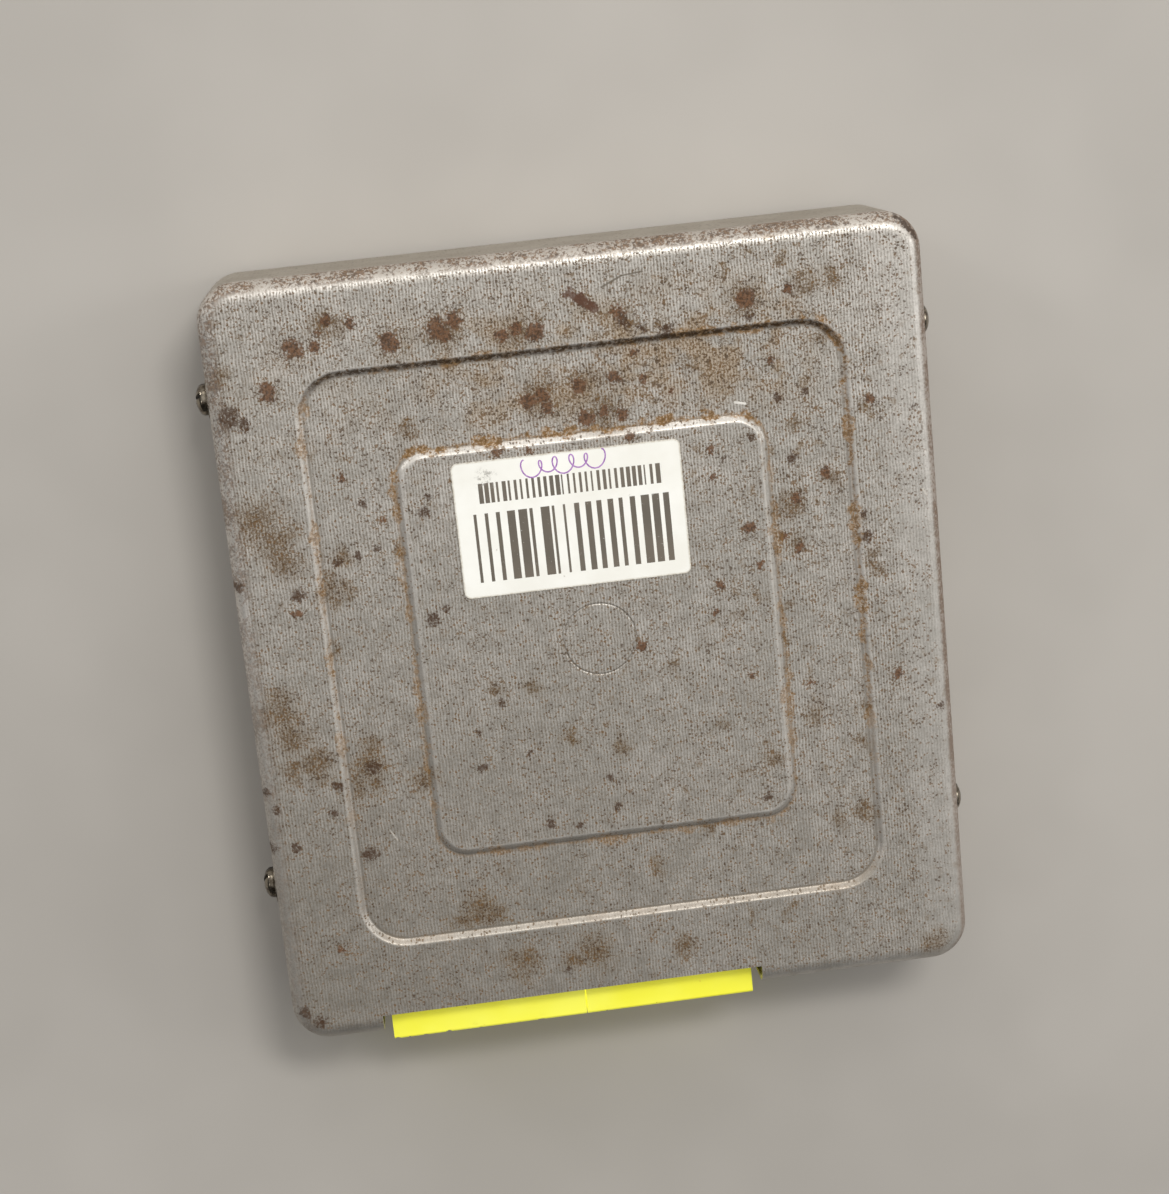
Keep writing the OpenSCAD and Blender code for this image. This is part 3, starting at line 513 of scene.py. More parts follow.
# Brown bloom with many dark dots in it, and places where dots alone crowd
BLOOMS = [
    (-67, 30, 5), (-71, 35, 5.5), (-66, 26, 4), (-57, 18, 3), (-54, 24, 2.4),
    (-53, 17, 1.8), (-36.5, 52, 2.1), (-51, 75, 3), (-71, -8, 4.5), (-70, -14, 4),
    (-65, -21, 3.6), (-70, -22, 2.6), (-53, -19, 2.6), (-54, -23, 4), (-57, -27, 3.2),
    (-52, -27, 2.4), (-37, -61, 2.6), (-33, -59, 3.6), (-30, -61, 2.6), (-8, -73, 4),
    (-13, -74, 2.5), (-25, -73, 3.6), (57, 74, 2.8), (52, 73, 2), (47, 43, 1.8),
    (62, 12, 1.8), (62, 8, 1.6), (20, 68, 2), (26, 57, 1.7), (31, 55, 1.2),
    (41, -5, 1.3), (47, -24, 2), (36, -32, 2.2), (58, -24, 1.4), (57, -32, 1.6),
    (29, -35, 1.3), (20, -46, 1.6), (8, -55, 1.6), (28, -69, 1.2), (37, -69, 1.4),
    (3, -25, 1.8), (26, -23, 1.3), (12, -74, 2.6), (-8, -22, 1.8), (55, 61, 1.6),
    (70, -81, 3.5), (-75, 66, 2), (-41, 26, 1.4),
    (55, 30, 2.2), (45, 25, 2.6), (45, 16, 2.6), (63, 45, 1.8), (13, 69, 2.4),
    (38, 71, 3.6), (-27, 71, 4), (-11, 69, 4.4), (-8, 54, 4.4), (6, 50, 5),
    (3, 56, 4), (-24, -8, 1.4), (-16, -9, 1.6), (15, -8, 1.3), (41, 3, 1.3),
    (36, 5, 1.3), (31, 1, 1.3), (41, 24, 1.2), (48, 78, 1.6), (34, 77, 1.4),
    (-58, 4, 1.6), (50, -50, 2.2), (56, -47, 2.6), (-42, -27, 3),
]  # fmt: skip
# Dark scabs
CRUSTS = [
    (-35, 33, 1.8), (-36, 9, 1.8), (-33, 11, 1), (-77, 21, 1.6), (-74, 58, 3.4),
    (-71, 56, 1.8), (-77, -26, 1.4), (-75, -30, 1.4), (-77, -39, 1.6), (-72, -39, 1.2),
    (-75, -78, 2), (-72, -81, 1.8), (-15, -76, 1.2), (-53, -23, 2.2), (-61, -26, 1.6),
    (-63, -32, 1.2), (21, 66, 2), (39, 67, 1.4), (-29, -26, 1.3), (-29, -18, 1.1),
    (-23, -12, 1.1), (-15, -41, 1.4), (-9, -42, 1.2), (-1, -32, 1.3), (61, 21, 1.2),
    (16, 67, 1.4), (-34, 36, 1), (-46, 26, 1.1), (-50, 25, 1.2), (75, -25, 1.4),
    (44, 49, 1.2), (50, 49, 1), (46, 35, 1.4), (37, 41, 1.2), (31, 37, 0.8),
    (-55, 24, 1.4), (-64, 18, 2), (12, 69, 1.8), (48, 72, 1.6), (0, -39, 1.2),
    (-18, -24, 1), (-48, 36, 1.2), (-56, -43, 2.4), (34, -41, 1.4), (61, 16, 1.8),
]  # fmt: skip
# Scratches: start, end and width in mm, and the tone of the bared or filled metal
SCRATCHES = [
    ((34.6, 48.7), (36.7, 48.2), 0.4, (244, 240, 232)),
    ((8, 76.7), (12.5, 78.7), 0.3, (104, 95, 82)),
    ((12.5, 78.7), (17, 79.1), 0.26, (104, 95, 82)),
    ((74.2, 25), (75, 23.6), 0.3, (214, 208, 198)),
    ((-51, -38), (-49.6, -40.5), 0.2, (206, 200, 190)),
]
# The rolled edge, and the middle of the recess's and the island's step: half width,
# half depth and corner radius in mm
RIM_FRAME, RECESS_FRAME, ISLAND_FRAME = (78, 86, 8.5), (59, 64.6, 9.6), (39.8, 45.2, 6)


def nearest(g, place, spots):
    """The distance to the nearest spot, as a share of that spot's radius."""
    least = None
    for x, y, radius in spots:
        reach = g.vector("DISTANCE", place, (x, y, 0), out=1)
        share = g.times(reach, 1 / radius)
        least = share if least is None else g.least(least, share)
    return least


def streak(g, place, start, end, width):
    """A straight mark between two places, soft at its edges."""
    span = (end[0] - start[0], end[1] - start[1], 0)
    from_start = g.vector("SUBTRACT", place, (*start, 0))
    length = span[0] ** 2 + span[1] ** 2
    share = g.vector("DOT_PRODUCT", from_start, span, out=1)
    share = g.math("DIVIDE", share, length, clamp=True)
    foot = g.vector("SCALE", span)
    g.join(share, foot.node.inputs["Scale"])
    reach = g.vector("DISTANCE", from_start, foot, out=1)
    return g.fade(reach, width, width * 0.4)


def cover_steel():
    g = new_material("case_steel")
    place = g.place()
    flat = g.vector("MULTIPLY", place, (1, 1, 0))
    x, y, z = g.split(place)
    rim = g.outside(flat, *RIM_FRAME)
    top = g.fade(rim, -1.6, -3.8)
    recess = g.outside(flat, *RECESS_FRAME)
    island = g.outside(flat, *ISLAND_FRAME)
    to_bend = g.least(g.size(recess), g.size(island))
    off_bend, off_right = g.fade(to_bend, 0.7, 1.3, 0.25, 1), g.fade(x, 64, 71, 1, 0.5)
    woven = g.times(top, off_bend, off_right)

    # ragged copies of the place
    rough = g.vector("SUBTRACT", g.noise(place, 0.6, 4, 0.7, "Color"), (0.5,) * 3)
    ragged = g.vector("MULTIPLY_ADD", rough, (4.5, 4.5, 0), flat)
    broad = g.vector("SUBTRACT", g.noise(place, 0.16, 2, 0.6, "Color"), (0.5,) * 3)
    drifting = g.vector("MULTIPLY_ADD", broad, (9, 9, 0), ragged)
    fringe = g.vector("SUBTRACT", g.noise(place, 1.9, 3, 0.7, "Color"), (0.5,) * 3)
    fringed = g.vector("MULTIPLY_ADD", fringe, (1.8, 1.8, 0), ragged)
    spots = nearest(g, fringed, RUST_SPOTS)
    bloom = g.fade(nearest(g, drifting, BLOOMS), 1.75, 0.1)
    crust = g.fade(nearest(g, ragged, CRUSTS), 1.5, 0.4)
    clouds = g.noise(place, 0.035, 4, 0.6)
    mottle = g.noise(place, 0.28, 3, 0.65)

    # the coating: grey with clouds, dark dashes on fine threads, and dark dots
    fine = g.noise(place, 1.6, 4, 0.85)
    g.colour = g.blend(g.fade(clouds, 0.3, 0.7), (205, 201, 194), (219, 214, 207))
    shade = g.fade(g.scaled(mottle, 0.5, fine), 0.6, 0.9, 0.45, 0)
    g.paint(g.times(shade, g.fade(woven, 0, 1, 0.5, 1)), (114, 106, 95))
    # painted shade: the coating is made darker towards the near left end
    near_left_shade = g.times(g.fade(y, 50, -80), g.fade(x, 70, -70, 0.3, 1))
    g.paint(near_left_shade, (112, 104, 90), 0.4)
    many = g.scaled(g.fade(mottle, 0.3, 0.7), 0.2, 0.48)
    many = g.scaled(bloom, 0.15, many)
    grain = g.group(LINEN, {"Place": place, "Amount": many})
    dashes = g.times(grain["Dashes"], woven)
    g.paint(g.times(grain["Threads"], woven), (122, 112, 97), 0.42)
    dash_tone = g.blend(fine, (50, 41, 30), (112, 99, 80))
    g.paint(dashes, dash_tone, 0.55)
    band_y = g.times(g.fade(y, 42, 56), g.fade(y, 82, 66))
    band_x = g.fade(x, -48, -12, 0.25, 1), g.fade(x, 60, 42)
    dirty = g.times(band_y, *band_x, g.fade(g.noise(place, 0.12, 3, 0.6), 0.38, 0.6))
    stain = g.times(bloom, g.fade(mottle, 0.3, 0.7, 0.2, 0.5))
    stain = g.most(stain, g.times(dirty, 0.45))
    stipple = g.fade(g.scaled(bloom, 0.15, fine), 0.6, 0.7)
    stipple = g.times(stipple, g.fade(bloom, 0, 0.5, 0.25, 0.8), top)
    grime = g.most(stain, stipple)
    g.paint(stain, g.blend(dirty, (120, 98, 66), (146, 114, 66)))
    grime_tone = g.blend(g.fade(mottle, 0.35, 0.65), (96, 74, 48), (74, 56, 38))
    g.paint(stipple, grime_tone)

    # fine brown pepper, thicker in patches, round the rust, and to the far right
    patches = g.fade(g.noise(place, 0.19, 4, 0.7), 0.38, 0.66)
    side = g.times(g.fade(x, -60, 40, 0.5, 1), g.fade(y, -80, 50, 0.6, 1))
    patches = g.times(patches, side)
    patches = g.most(patches, g.times(g.fade(spots, 3.2, 0.8), 0.9), g.most(dirty, bloom))
    tufts = g.fade(g.noise(place, 0.34, 3, 0.6), 0.58, 0.72)
    tufts = g.times(tufts, side)
    g.paint(tufts, (132, 106, 72), 0.4)
    patches = g.most(patches, g.times(tufts, 1.5))
    pepper = g.scaled(patches, 0.12, g.noise(place, 2.1, 1, 0.5))
    pepper = g.times(g.fade(pepper, 0.64, 0.74), woven)
    pepper_tone = g.blend(fine, (72, 54, 30), (114, 90, 56))
    g.paint(pepper, pepper_tone, 0.72)
    halo = g.times(g.fade(spots, 2.6, 1), 0.4)
    crowd = g.most(halo, g.times(crust, 0.45), g.times(bloom, 0.3))
    thin = g.fade(g.noise(place, 0.07, 3, 0.6), 0.3, 0.65, 0.28, 0.55)
    crowd = g.most(crowd, g.times(dirty, 0.4))
    crowd = g.plus(crowd, thin)
    crowd = g.scaled(patches, 0.3, crowd)
    dots = g.specks(flat, 1.5, crowd)
    large = g.specks(flat, 0.8, g.times(crowd, 0.35))
    dots = g.times(g.most(dots, large), top)
    dot_tone = g.blend(g.fade(mottle, 0.4, 0.6), (68, 49, 29), (106, 78, 44))
    g.paint(dots, dot_tone, 0.8)
    scab = g.fade(g.scaled(crust, 0.3, fine), 0.69, 0.78)
    scab = g.times(scab, crust, 0.9)
    g.paint(scab, (68, 46, 28))

    # rust spots, red-brown with dark flecks and a ragged rim
    rust = g.times(g.fade(spots, 1.12, 0.7), 0.92)
    flecks = g.fade(g.noise(place, 1.7, 3, 0.7), 0.42, 0.6)
    g.paint(rust, g.blend(flecks, (112, 80, 56), (70, 49, 33)))
    knock = streak(g, ragged, (0.5, 76.2), (6, 72.4), 1.3)
    g.paint(knock, (88, 60, 46), 0.85)
    for start, end, width, tone in SCRATCHES:
        g.paint(streak(g, flat, start, end, width), tone, 0.8)

    # a pale highlight is painted along the bends, where the coating is also worn, shade
    # is painted at their feet, and rust starts along them
    def bend(reach, seed):
        """Speckled rust along a bend, thin in places and spread wide in others."""
        shifted = g.vector("ADD", place, (seed, 0, 0))
        wander = g.scaled(g.noise(place, 0.5, 3, 0.7), 1.2, -0.6)
        near = g.size(g.plus(reach, wander))
        patch = g.fade(g.noise(shifted, 0.13, 4, 0.7), 0.44, 0.7)
        near = g.scaled(patch, -2, near)
        grit = g.fade(g.noise(place, 1.3, 4, 0.75), 0.36, 0.54)
        return g.times(g.fade(near, 0.6, -0.4), grit)

    def ridge(reach, at, width):
        return g.fade(g.size(g.minus(reach, at)), width, 0.1)

    # painted highlight: a pale line on each step's crest, except on the recess's far
    # side, standing also for coating worn thin there
    paled = g.most(ridge(recess, 0.7, 0.4), ridge(island, -0.35, 0.4))
    paled = g.times(paled, g.fade(g.noise(place, 0.4, 3, 0.6), 0.3, 0.6, 0.05, 0.32))
    g.paint(g.times(paled, g.fade(y, 64, 60)), (212, 206, 196))
    # painted shade: a dark line at the foot of each step
    foot = g.most(ridge(recess, -0.75, 0.5), ridge(island, 0.75, 0.5))
    g.paint(foot, (96, 84, 68), 0.5)
    # painted shade over the near step of the recess, dimming its highlight, more so to
    # the right
    near_step_shade = g.times(g.fade(to_bend, 1.2, 0.6), g.fade(y, -58, -62))
    g.paint(g.times(near_step_shade, g.fade(x, -60, 60, 0.25, 0.6)), (128, 118, 104))

    amber = g.blend(
        g.fade(g.noise(place, 1.3, 3, 0.7), 0.4, 0.6), (166, 122, 60), (108, 80, 44)
    )
    near_far = g.fade(y, 30, 45, 0.7, 1)
    island_bend = g.times(bend(g.minus(island, 1.1), 0), near_far, 0.95)
    g.paint(island_bend, amber)
    sides = g.times(g.fade(x, -30, 50, 0.8, 1), g.fade(y, -60, 0, 0.2, 1))
    recess_bend = g.times(bend(recess, 70), sides, 0.9)
    g.paint(recess_bend, amber)
    # dark rust along the recess's far bend, deepened with painted shade
    crumbs = g.fade(g.noise(place, 0.9, 4, 0.75), 0.38, 0.54)
    sway = g.scaled(g.noise(place, 0.7, 3, 0.7), 1.4, -0.7)
    far_bend_rust_and_shade = g.fade(g.size(g.plus(recess, sway)), 0.9, 0.3)
    far_bend_rust_and_shade = g.times(far_bend_rust_and_shade, g.fade(y, 58, 64), crumbs, 0.9)
    g.paint(far_bend_rust_and_shade, g.blend(fine, (26, 19, 12), (84, 62, 38)))

    # rust and grime along the rolled edge, and painted shade on its right side
    uneven = g.scaled(g.noise(place, 0.16, 3, 0.6), 0.5, -0.25)
    pitted = g.fade(g.plus(g.noise(place, 1.5, 4, 0.75), uneven), 0.44, 0.56)
    upper = g.fade(z, 26, 28.5)
    far = g.times(g.fade(rim, -3, -1.5), g.fade(y, 78, 83))
    right = g.times(g.fade(rim, -2.4, -1), g.fade(x, 71, 75))
    right = g.times(right, g.fade(y, -80, 0, 0.5, 1))
    left = g.times(g.fade(rim, -5, -2.4), g.fade(x, -71, -75))
    left = g.times(left, g.fade(y, -60, 70, 0.45, 0.9))
    band = g.times(g.most(far, g.most(right, left)), upper, pitted)
    band_tone = g.blend(
        g.fade(g.noise(place, 1.2, 3, 0.7), 0.4, 0.6), (112, 84, 58), (70, 50, 33)
    )
    soiled = g.times(far, upper, 0.4)
    g.paint(soiled, (126, 110, 90))
    g.paint(band, band_tone, 0.85)
    # brown dirt and painted shade on the outer, lower part of the right rolled edge
    right_edge_dirt_and_shade = g.times(g.fade(rim, -2.2, -1.2), g.fade(x, 72, 76, 0, 0.6))
    g.paint(right_edge_dirt_and_shade, (118, 100, 86))
    crack = streak(g, ragged, (72.6, 84.8), (76.6, 80.2), 0.9)
    g.paint(crack, (58, 44, 34), 0.85)

    # the walls keep a smooth warm coat
    wall_clouds = g.fade(g.noise(place, 0.08, 3, 0.6), 0.35, 0.65)
    wall_tone = g.blend(wall_clouds, (152, 143, 129), (163, 155, 142))
    wall_dots = g.times(g.specks(place, 1.3, thin), 0.7)
    wall_tone = g.blend(wall_dots, wall_tone, dot_tone)
    wall_tone = g.blend(g.times(rust, 0.6), wall_tone, (104, 76, 54))
    g.paint(g.minus(1, g.fade(z, 26, 29)), wall_tone)

    decay = g.most(rust, band, g.most(knock, grime), island_bend, recess_bend, far_bend_rust_and_shade)
    decay = g.most(decay, scab, dots, pepper, soiled, right_edge_dirt_and_shade, crack)
    dull = g.most(decay, g.times(dashes, 0.7))
    height = g.scaled(rust, 0.6, g.times(dashes, -0.5))
    height = g.scaled(dots, -0.4, height)
    return g.surface(
        Base_Color=g.colour,
        Metallic=g.scaled(dull, -0.6, 0.6),
        Roughness=g.scaled(dull, 0.38, 0.4),
        Specular_IOR_Level=0.3,
        Normal=g.bump(height, 0.05 * MM, 0.6),
    )


def dress(piece, material, node=None):
    """Gives a piece its finish and its body, and hides the CAD node it stands for."""
    piece.data.materials.clear()
    piece.data.materials.append(material)
    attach(piece, "root")
    if node:
        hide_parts(node)


dress(cover, cover_steel(), "top_cover")

# ---- Base tray --------------------------------------------------------------
# The lower half of the case, from the same zinc-coated sheet: low walls inside
# the cover's, a panel pressed up in its floor and four collars for the bolts of
# the car's bracket. Its plug wall ends below the board to let the headers out.
TRAY_LOW, TRAY_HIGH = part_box("base_tray")
TRAY_W, TRAY_D = (TRAY_HIGH - TRAY_LOW)[:2]
TRAY_CORNER = 7.2 * MM
TRAY_ROLL = 2 * MM
PANEL = (96 * MM, 112 * MM, 8 * MM)
PANEL_RISE = 1 * MM
COLLARS = [(x * MM, y * MM) for x in (-58, 58) for y in (-68, 68)]
COLLAR_R, COLLAR_TOP, BOLT_R = 3.8 * MM, 3.5 * MM, 2.1 * MM
STANDOFFS = [(x * MM, y * MM) for x in (-68, 68) for y in (-75, 6, 71)]
SWAGE_R, NUT_HOLE_R = 2.3 * MM, 3 * MM
SILL_Z = 6.4 * MM

tray = empty_shape("case_tray")
rounded_sheet(TRAY_W, TRAY_D, TRAY_CORNER, TRAY_HIGH.z, down=True)
raise_walls(TRAY_ROLL - TRAY_HIGH.z)
roll_over(TRAY_ROLL, 6)
drop_face()
stepped(PANEL, 0, PANEL_RISE, -PANEL_RISE, down=True)
bridge(tray, 0)
finish_shell(tray, TRAY_HIGH.z)
collar_h = COLLAR_TOP - SHEET / 2
for x, y in COLLARS:
    carve(tray, rod(COLLAR_R, collar_h, (x, y, COLLAR_TOP - collar_h / 2)), "UNION")
    carve(tray, rod(BOLT_R, 4 * COLLAR_TOP, (x, y, 0)))
for x, y in STANDOFFS:
    carve(tray, rod(SWAGE_R, 4 * SHEET, (x, y, 0)))
for y in SCREW_YS:
    carve(tray, rod(NUT_HOLE_R, TRAY_W + 4 * SHEET, (0, y, SCREW_Z), "X"))
carve(
    tray,
    box_cutter(
        (CUTOUT[0], TRAY_LOW.y - SHEET, SILL_Z),
        (CUTOUT[1], TRAY_LOW.y + 3 * SHEET, TRAY_HIGH.z + SHEET),
    ),
)
soften(tray, ARRIS, angle=40)
settle(tray)


def tray_steel():
    g = new_material("tray_steel")
    place = g.place()
    grain = g.group(LINEN, {"Place": place, "Amount": 0.4})["Dashes"]
    clouds = g.noise(place, 0.03, 4, 0.6)
    g.colour = g.blend(g.fade(clouds, 0.3, 0.7), (146, 140, 130), (168, 162, 152))
    specks = g.specks(place, 1.1, 0.3)
    rust = g.fade(g.noise(place, 0.11, 5, 0.7), 0.6, 0.68)
    g.paint(specks, (92, 80, 64), 0.6)
    rust_tone = g.blend(g.noise(place, 1.2, 3), (88, 62, 46), (138, 100, 74))
    g.paint(rust, rust_tone, 0.8)
    return g.surface(
        Base_Color=g.colour,
        Metallic=g.scaled(rust, -0.6, 0.62),
        Roughness=g.scaled(grain, 0.2, 0.38),
        Normal=g.bump(g.plus(grain, rust), 0.04 * MM, 0.6),
    )


dress(tray, tray_steel(), "base_tray")

# ---- Case screws and washers ------------------------------------------------
# Four zinc-plated pan-head screws hold the cover's walls to nuts pressed into
# the tray. Each carries a loose washer; heads and washers have dulled, and their
# lower halves are painted near-black, as grime and as painted shade.
HEAD_R, HEAD_H, HEAD_RIM = 3.5 * MM, 2.6 * MM, 0.8 * MM
DOME_STEPS, DOME_TURN = 7, 11  # degrees a step
SLOT_W, SLOT_DEPTH = 1 * MM, 1.2 * MM
WASHER_R, WASHER_T, WASHER_BORE = 5 * MM, 0.8 * MM, 2.2 * MM
SHANK_R, SHANK_LEN, SHANK_LAP = 1.95 * MM, 7.8 * MM, 0.1 * MM

case_screw = rod(HEAD_R, HEAD_RIM, (0, 0, HEAD_RIM / 2))
mode("EDIT")
pick(case_screw, "faces", lambda f: f.normal.z > 0.9)
dome_rise = (HEAD_H - HEAD_RIM) / sin(radians(DOME_STEPS * DOME_TURN))
for i in range(DOME_STEPS):
    a, b = radians(DOME_TURN * i), radians(DOME_TURN * (i + 1))
    inset(HEAD_R * (cos(a) - cos(b)), dome_rise * (sin(b) - sin(a)))
mode("OBJECT")
carve(
    case_screw,
    box_cutter(
        (-2 * HEAD_R, -SLOT_W / 2, HEAD_H - SLOT_DEPTH),
        (2 * HEAD_R, SLOT_W / 2, 2 * HEAD_H),
    ),
)
carve(case_screw, rod(SHANK_R, SHANK_LEN, (0, 0, SHANK_LAP - SHANK_LEN / 2)), "UNION")
soften(case_screw, 0.1 * MM)

washer = rod(WASHER_R, WASHER_T, (0, 0, WASHER_T / 2))
carve(washer, rod(WASHER_BORE, 4 * WASHER_T, (0, 0, 0)))
soften(washer, 0.2 * MM, 3)


def plated_steel():
    """Zinc plate gone brown, with its lower half painted near-black, as grime and as
    painted shade.
    """
    g = new_material("screw_steel")
    place = g.place()
    z = g.split(place)["Z"]
    wear = g.noise(place, 0.6, 3, 0.6)
    specks = g.specks(place, 1.9, 0.35)
    g.colour = g.blend(g.fade(wear, 0.35, 0.65), (150, 141, 126), (72, 62, 50))
    g.paint(specks, (84, 62, 44), 0.7)
    height = g.scaled(wear, 3, z)
    # painted shade with grime: the lower half of each head and washer goes near-black
    under = g.times(g.fade(height, 20.2, 18.4), 0.92)
    g.paint(under, (30, 23, 19))
    dull = g.most(under, specks)
    return g.surface(
        Base_Color=g.colour,
        Metallic=g.scaled(dull, -0.7, 0.9),
        Roughness=g.scaled(dull, 0.3, 0.2),
        Normal=g.bump(wear, 0.05 * MM, 0.5),
    )


screw_steel = plated_steel()


def copy_to(piece, name, place, turn):
    """A copy with its own mesh, spun on its axis, laid over and moved for good."""
    made = piece.copy()
    made.rotation_mode = "ZYX"
    made.data = piece.data.copy()
    made.name = made.data.name = name
    bpy.context.collection.objects.link(made)
    made.location, made.rotation_euler = place, turn
    return settle(made)


WALL_X = CASE_W / 2
corners = [(side, y) for side in (-1, 1) for y in SCREW_YS]
for number, (side, y) in enumerate(corners, 1):
    turn = (0, side * pi / 2, radians(25 * number))
    at_wall = (side * WALL_X, y, SCREW_Z)
    on_washer = (side * (WALL_X + WASHER_T), y, SCREW_Z)
    placed = copy_to(washer, f"washer_{number}", at_wall, turn)
    dress(placed, screw_steel, "case_screw_washers")
    placed = copy_to(case_screw, f"case_screw_{number}", on_washer, turn)
    dress(placed, screw_steel, "case_screws")
for pattern in (case_screw, washer):
    bpy.data.objects.remove(pattern)

# ---- Plug headers -----------------------------------------------------------
# Two sockets of bright yellow moulded nylon that stand side by side on the
# board, a hair apart, each screwed down by an ear at its outer end. Keys under
# the roof let only the right plug in. The left one's lip has been chipped.
HEADER_WALL = 1.6 * MM
SOCKET_DEPTH = 14 * MM
LIP_R = 0.8 * MM
EAR_D, EAR_H, EAR_BORE = 9 * MM, 6 * MM, 1.53 * MM
EAR_LAP, EAR_SOFT, SOCKET_SOFT = 0.2 * MM, 0.6 * MM, 0.5 * MM
KEY_W, KEY_H, KEY_BACK = 1.6 * MM, 1.2 * MM, 1 * MM
# Chips in the lip: how far before and under its edge they sit, and their shape
CHIP_OUT, CHIP_DOWN, CHIP_STRETCH = 0.1 * MM, 0.35 * MM, (1.5, 0.8, 1.1)
# Each chip's place along X and radius, in mm
CHIPS = [
    (-55.4, 0.9), (-52.6, 0.5), (-49, 0.7), (-46.8, 0.4), (-43.6, 0.9), (-42.4, 0.5),
    (-39, 0.4), (-36.1, 0.6), (-30.6, 0.35), (-22, 0.7),
]  # fmt: skip


def header(name, low, high, ear_side, keys):
    """One socket, from its node's corners without the ear."""
    def at_lip(edge):
        return all(v.co.z > high.z - TOUCH and v.co.y < low.y + TOUCH for v in edge.verts)

    piece = box_cutter(low, high)
    piece.name = piece.data.name = name
    mode("EDIT")
    pick(piece, "edges", at_lip)
    bpy.ops.mesh.bevel(offset=LIP_R, segments=6)
    mode("OBJECT")
    inner = [low.x + HEADER_WALL, low.y - 2 * MM, low.z + HEADER_WALL]
    outer = [high.x - HEADER_WALL, low.y + SOCKET_DEPTH, high.z - HEADER_WALL]
    socket = box_cutter(inner, outer)
    modify(socket, "BEVEL", width=SOCKET_SOFT, segments=3)
    middle = (low.x + high.x) / 2
    for key in keys:
        x = middle + key * MM
        key_low = (x - KEY_W / 2, low.y + KEY_BACK, outer[2] - KEY_H)
        carve(socket, box_cutter(key_low, (x + KEY_W / 2, high.y, high.z + MM)))
    carve(piece, socket)
    edge = low.x if ear_side < 0 else high.x
    ear_x = edge + ear_side * EAR_W / 2
    ear = box_cutter(
        (ear_x - EAR_W / 2 - EAR_LAP * (ear_side > 0), high.y - EAR_D, low.z),
        (ear_x + EAR_W / 2 + EAR_LAP * (ear_side < 0), high.y, low.z + EAR_H),
    )
    modify(ear, "BEVEL", width=EAR_SOFT, segments=3)
    carve(piece, ear, "UNION")
    carve(piece, rod(EAR_BORE, 4 * EAR_H, (ear_x, high.y - EAR_D / 2, low.z)))
    return piece


left_low, left_high = LEFT_LOW.copy(), LEFT_HIGH.copy()
left_low.x += EAR_W
right_low, right_high = RIGHT_LOW.copy(), RIGHT_HIGH.copy()
right_high.x -= EAR_W
left_header = header("left_socket", left_low, left_high, -1, (-9, 9))
for x, size in CHIPS:
    deselect()
    bpy.ops.mesh.primitive_ico_sphere_add(
        subdivisions=2,
        radius=size * MM,
        location=(x * MM, left_low.y - CHIP_OUT, left_high.z - CHIP_DOWN),
        rotation=(x, 2 * x, 3 * x),
    )
    chip = use(bpy.context.object)
    chip.scale = CHIP_STRETCH
    bpy.ops.object.transform_apply()
    carve(left_header, chip)
right_header = header("right_socket", right_low, right_high, 1, (0,))


def glowing_header_nylon():
    g = new_material("header_plastic")
    place = g.place()
    flow = g.noise(place, 0.05, 3, 0.6)
    fine = g.noise(place, 3, 2, 0.6)
    specks = g.specks(place, 0.7, 0.12)
    grime = g.fade(g.noise(place, 0.5, 4, 0.7), 0.62, 0.72)
    y = g.split(place)["Y"]
    at_lip = g.fade(y, -87.5, -90, 0.1, 1)
    g.colour = g.blend(g.fade(flow, 0.3, 0.7), (248, 244, 66), (252, 250, 92))
    g.paint(specks, (120, 100, 40), 0.6)
    g.paint(g.times(grime, at_lip), (150, 136, 52))
    return g.surface(
        Base_Color=g.colour,
        Roughness=g.scaled(fine, 0.15, 0.32),
        Normal=g.bump(fine, 0.02 * MM, 0.4),
        # painted light: the nylon gives off its own yellow as a faint glow
        Emission_Color=g.colour,
        Emission_Strength=0.22,
    )


nylon = glowing_header_nylon()
sockets = ((left_header, "left_plug_header"), (right_header, "right_plug_header"))
for piece, node in sockets:
    soften(piece, 0.15 * MM)
    settle(piece)
    dress(piece, nylon, node)

# ---- Label ------------------------------------------------------------------
# A white paper label with round corners, stuck on the island. Its print is worn
# dark brown bars and ticks, someone has marked it with a purple pen, and its
# edges have soiled.
LABEL_LOW, LABEL_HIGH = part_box("paper_label")
LABEL_W, LABEL_D = (LABEL_HIGH - LABEL_LOW)[:2]
LABEL_X, LABEL_Y = (LABEL_LOW.x + LABEL_HIGH.x) / 2, (LABEL_LOW.y + LABEL_HIGH.y) / 2
LABEL_CORNER = 1.5 * MM
PEN_T = 0.03 * MM
PAPER_TOP = LABEL_HIGH.z - PEN_T
# Rows of bars: pitch, near and far end, left and right end in mm, and a seed
BAR_ROWS = [(2.44, 15.8, 31, -24.6, 19.3, 12.5), (1.29, 33.2, 37.6, -22.9, 17.1, 40.5)]

label = empty_shape("label")
rounded_sheet(LABEL_W, LABEL_D, LABEL_CORNER, LABEL_LOW.z, at=(LABEL_X, LABEL_Y))
raise_walls(PAPER_TOP - LABEL_LOW.z)
face_out()
soften(label, 0.04 * MM)
settle(label, 60)


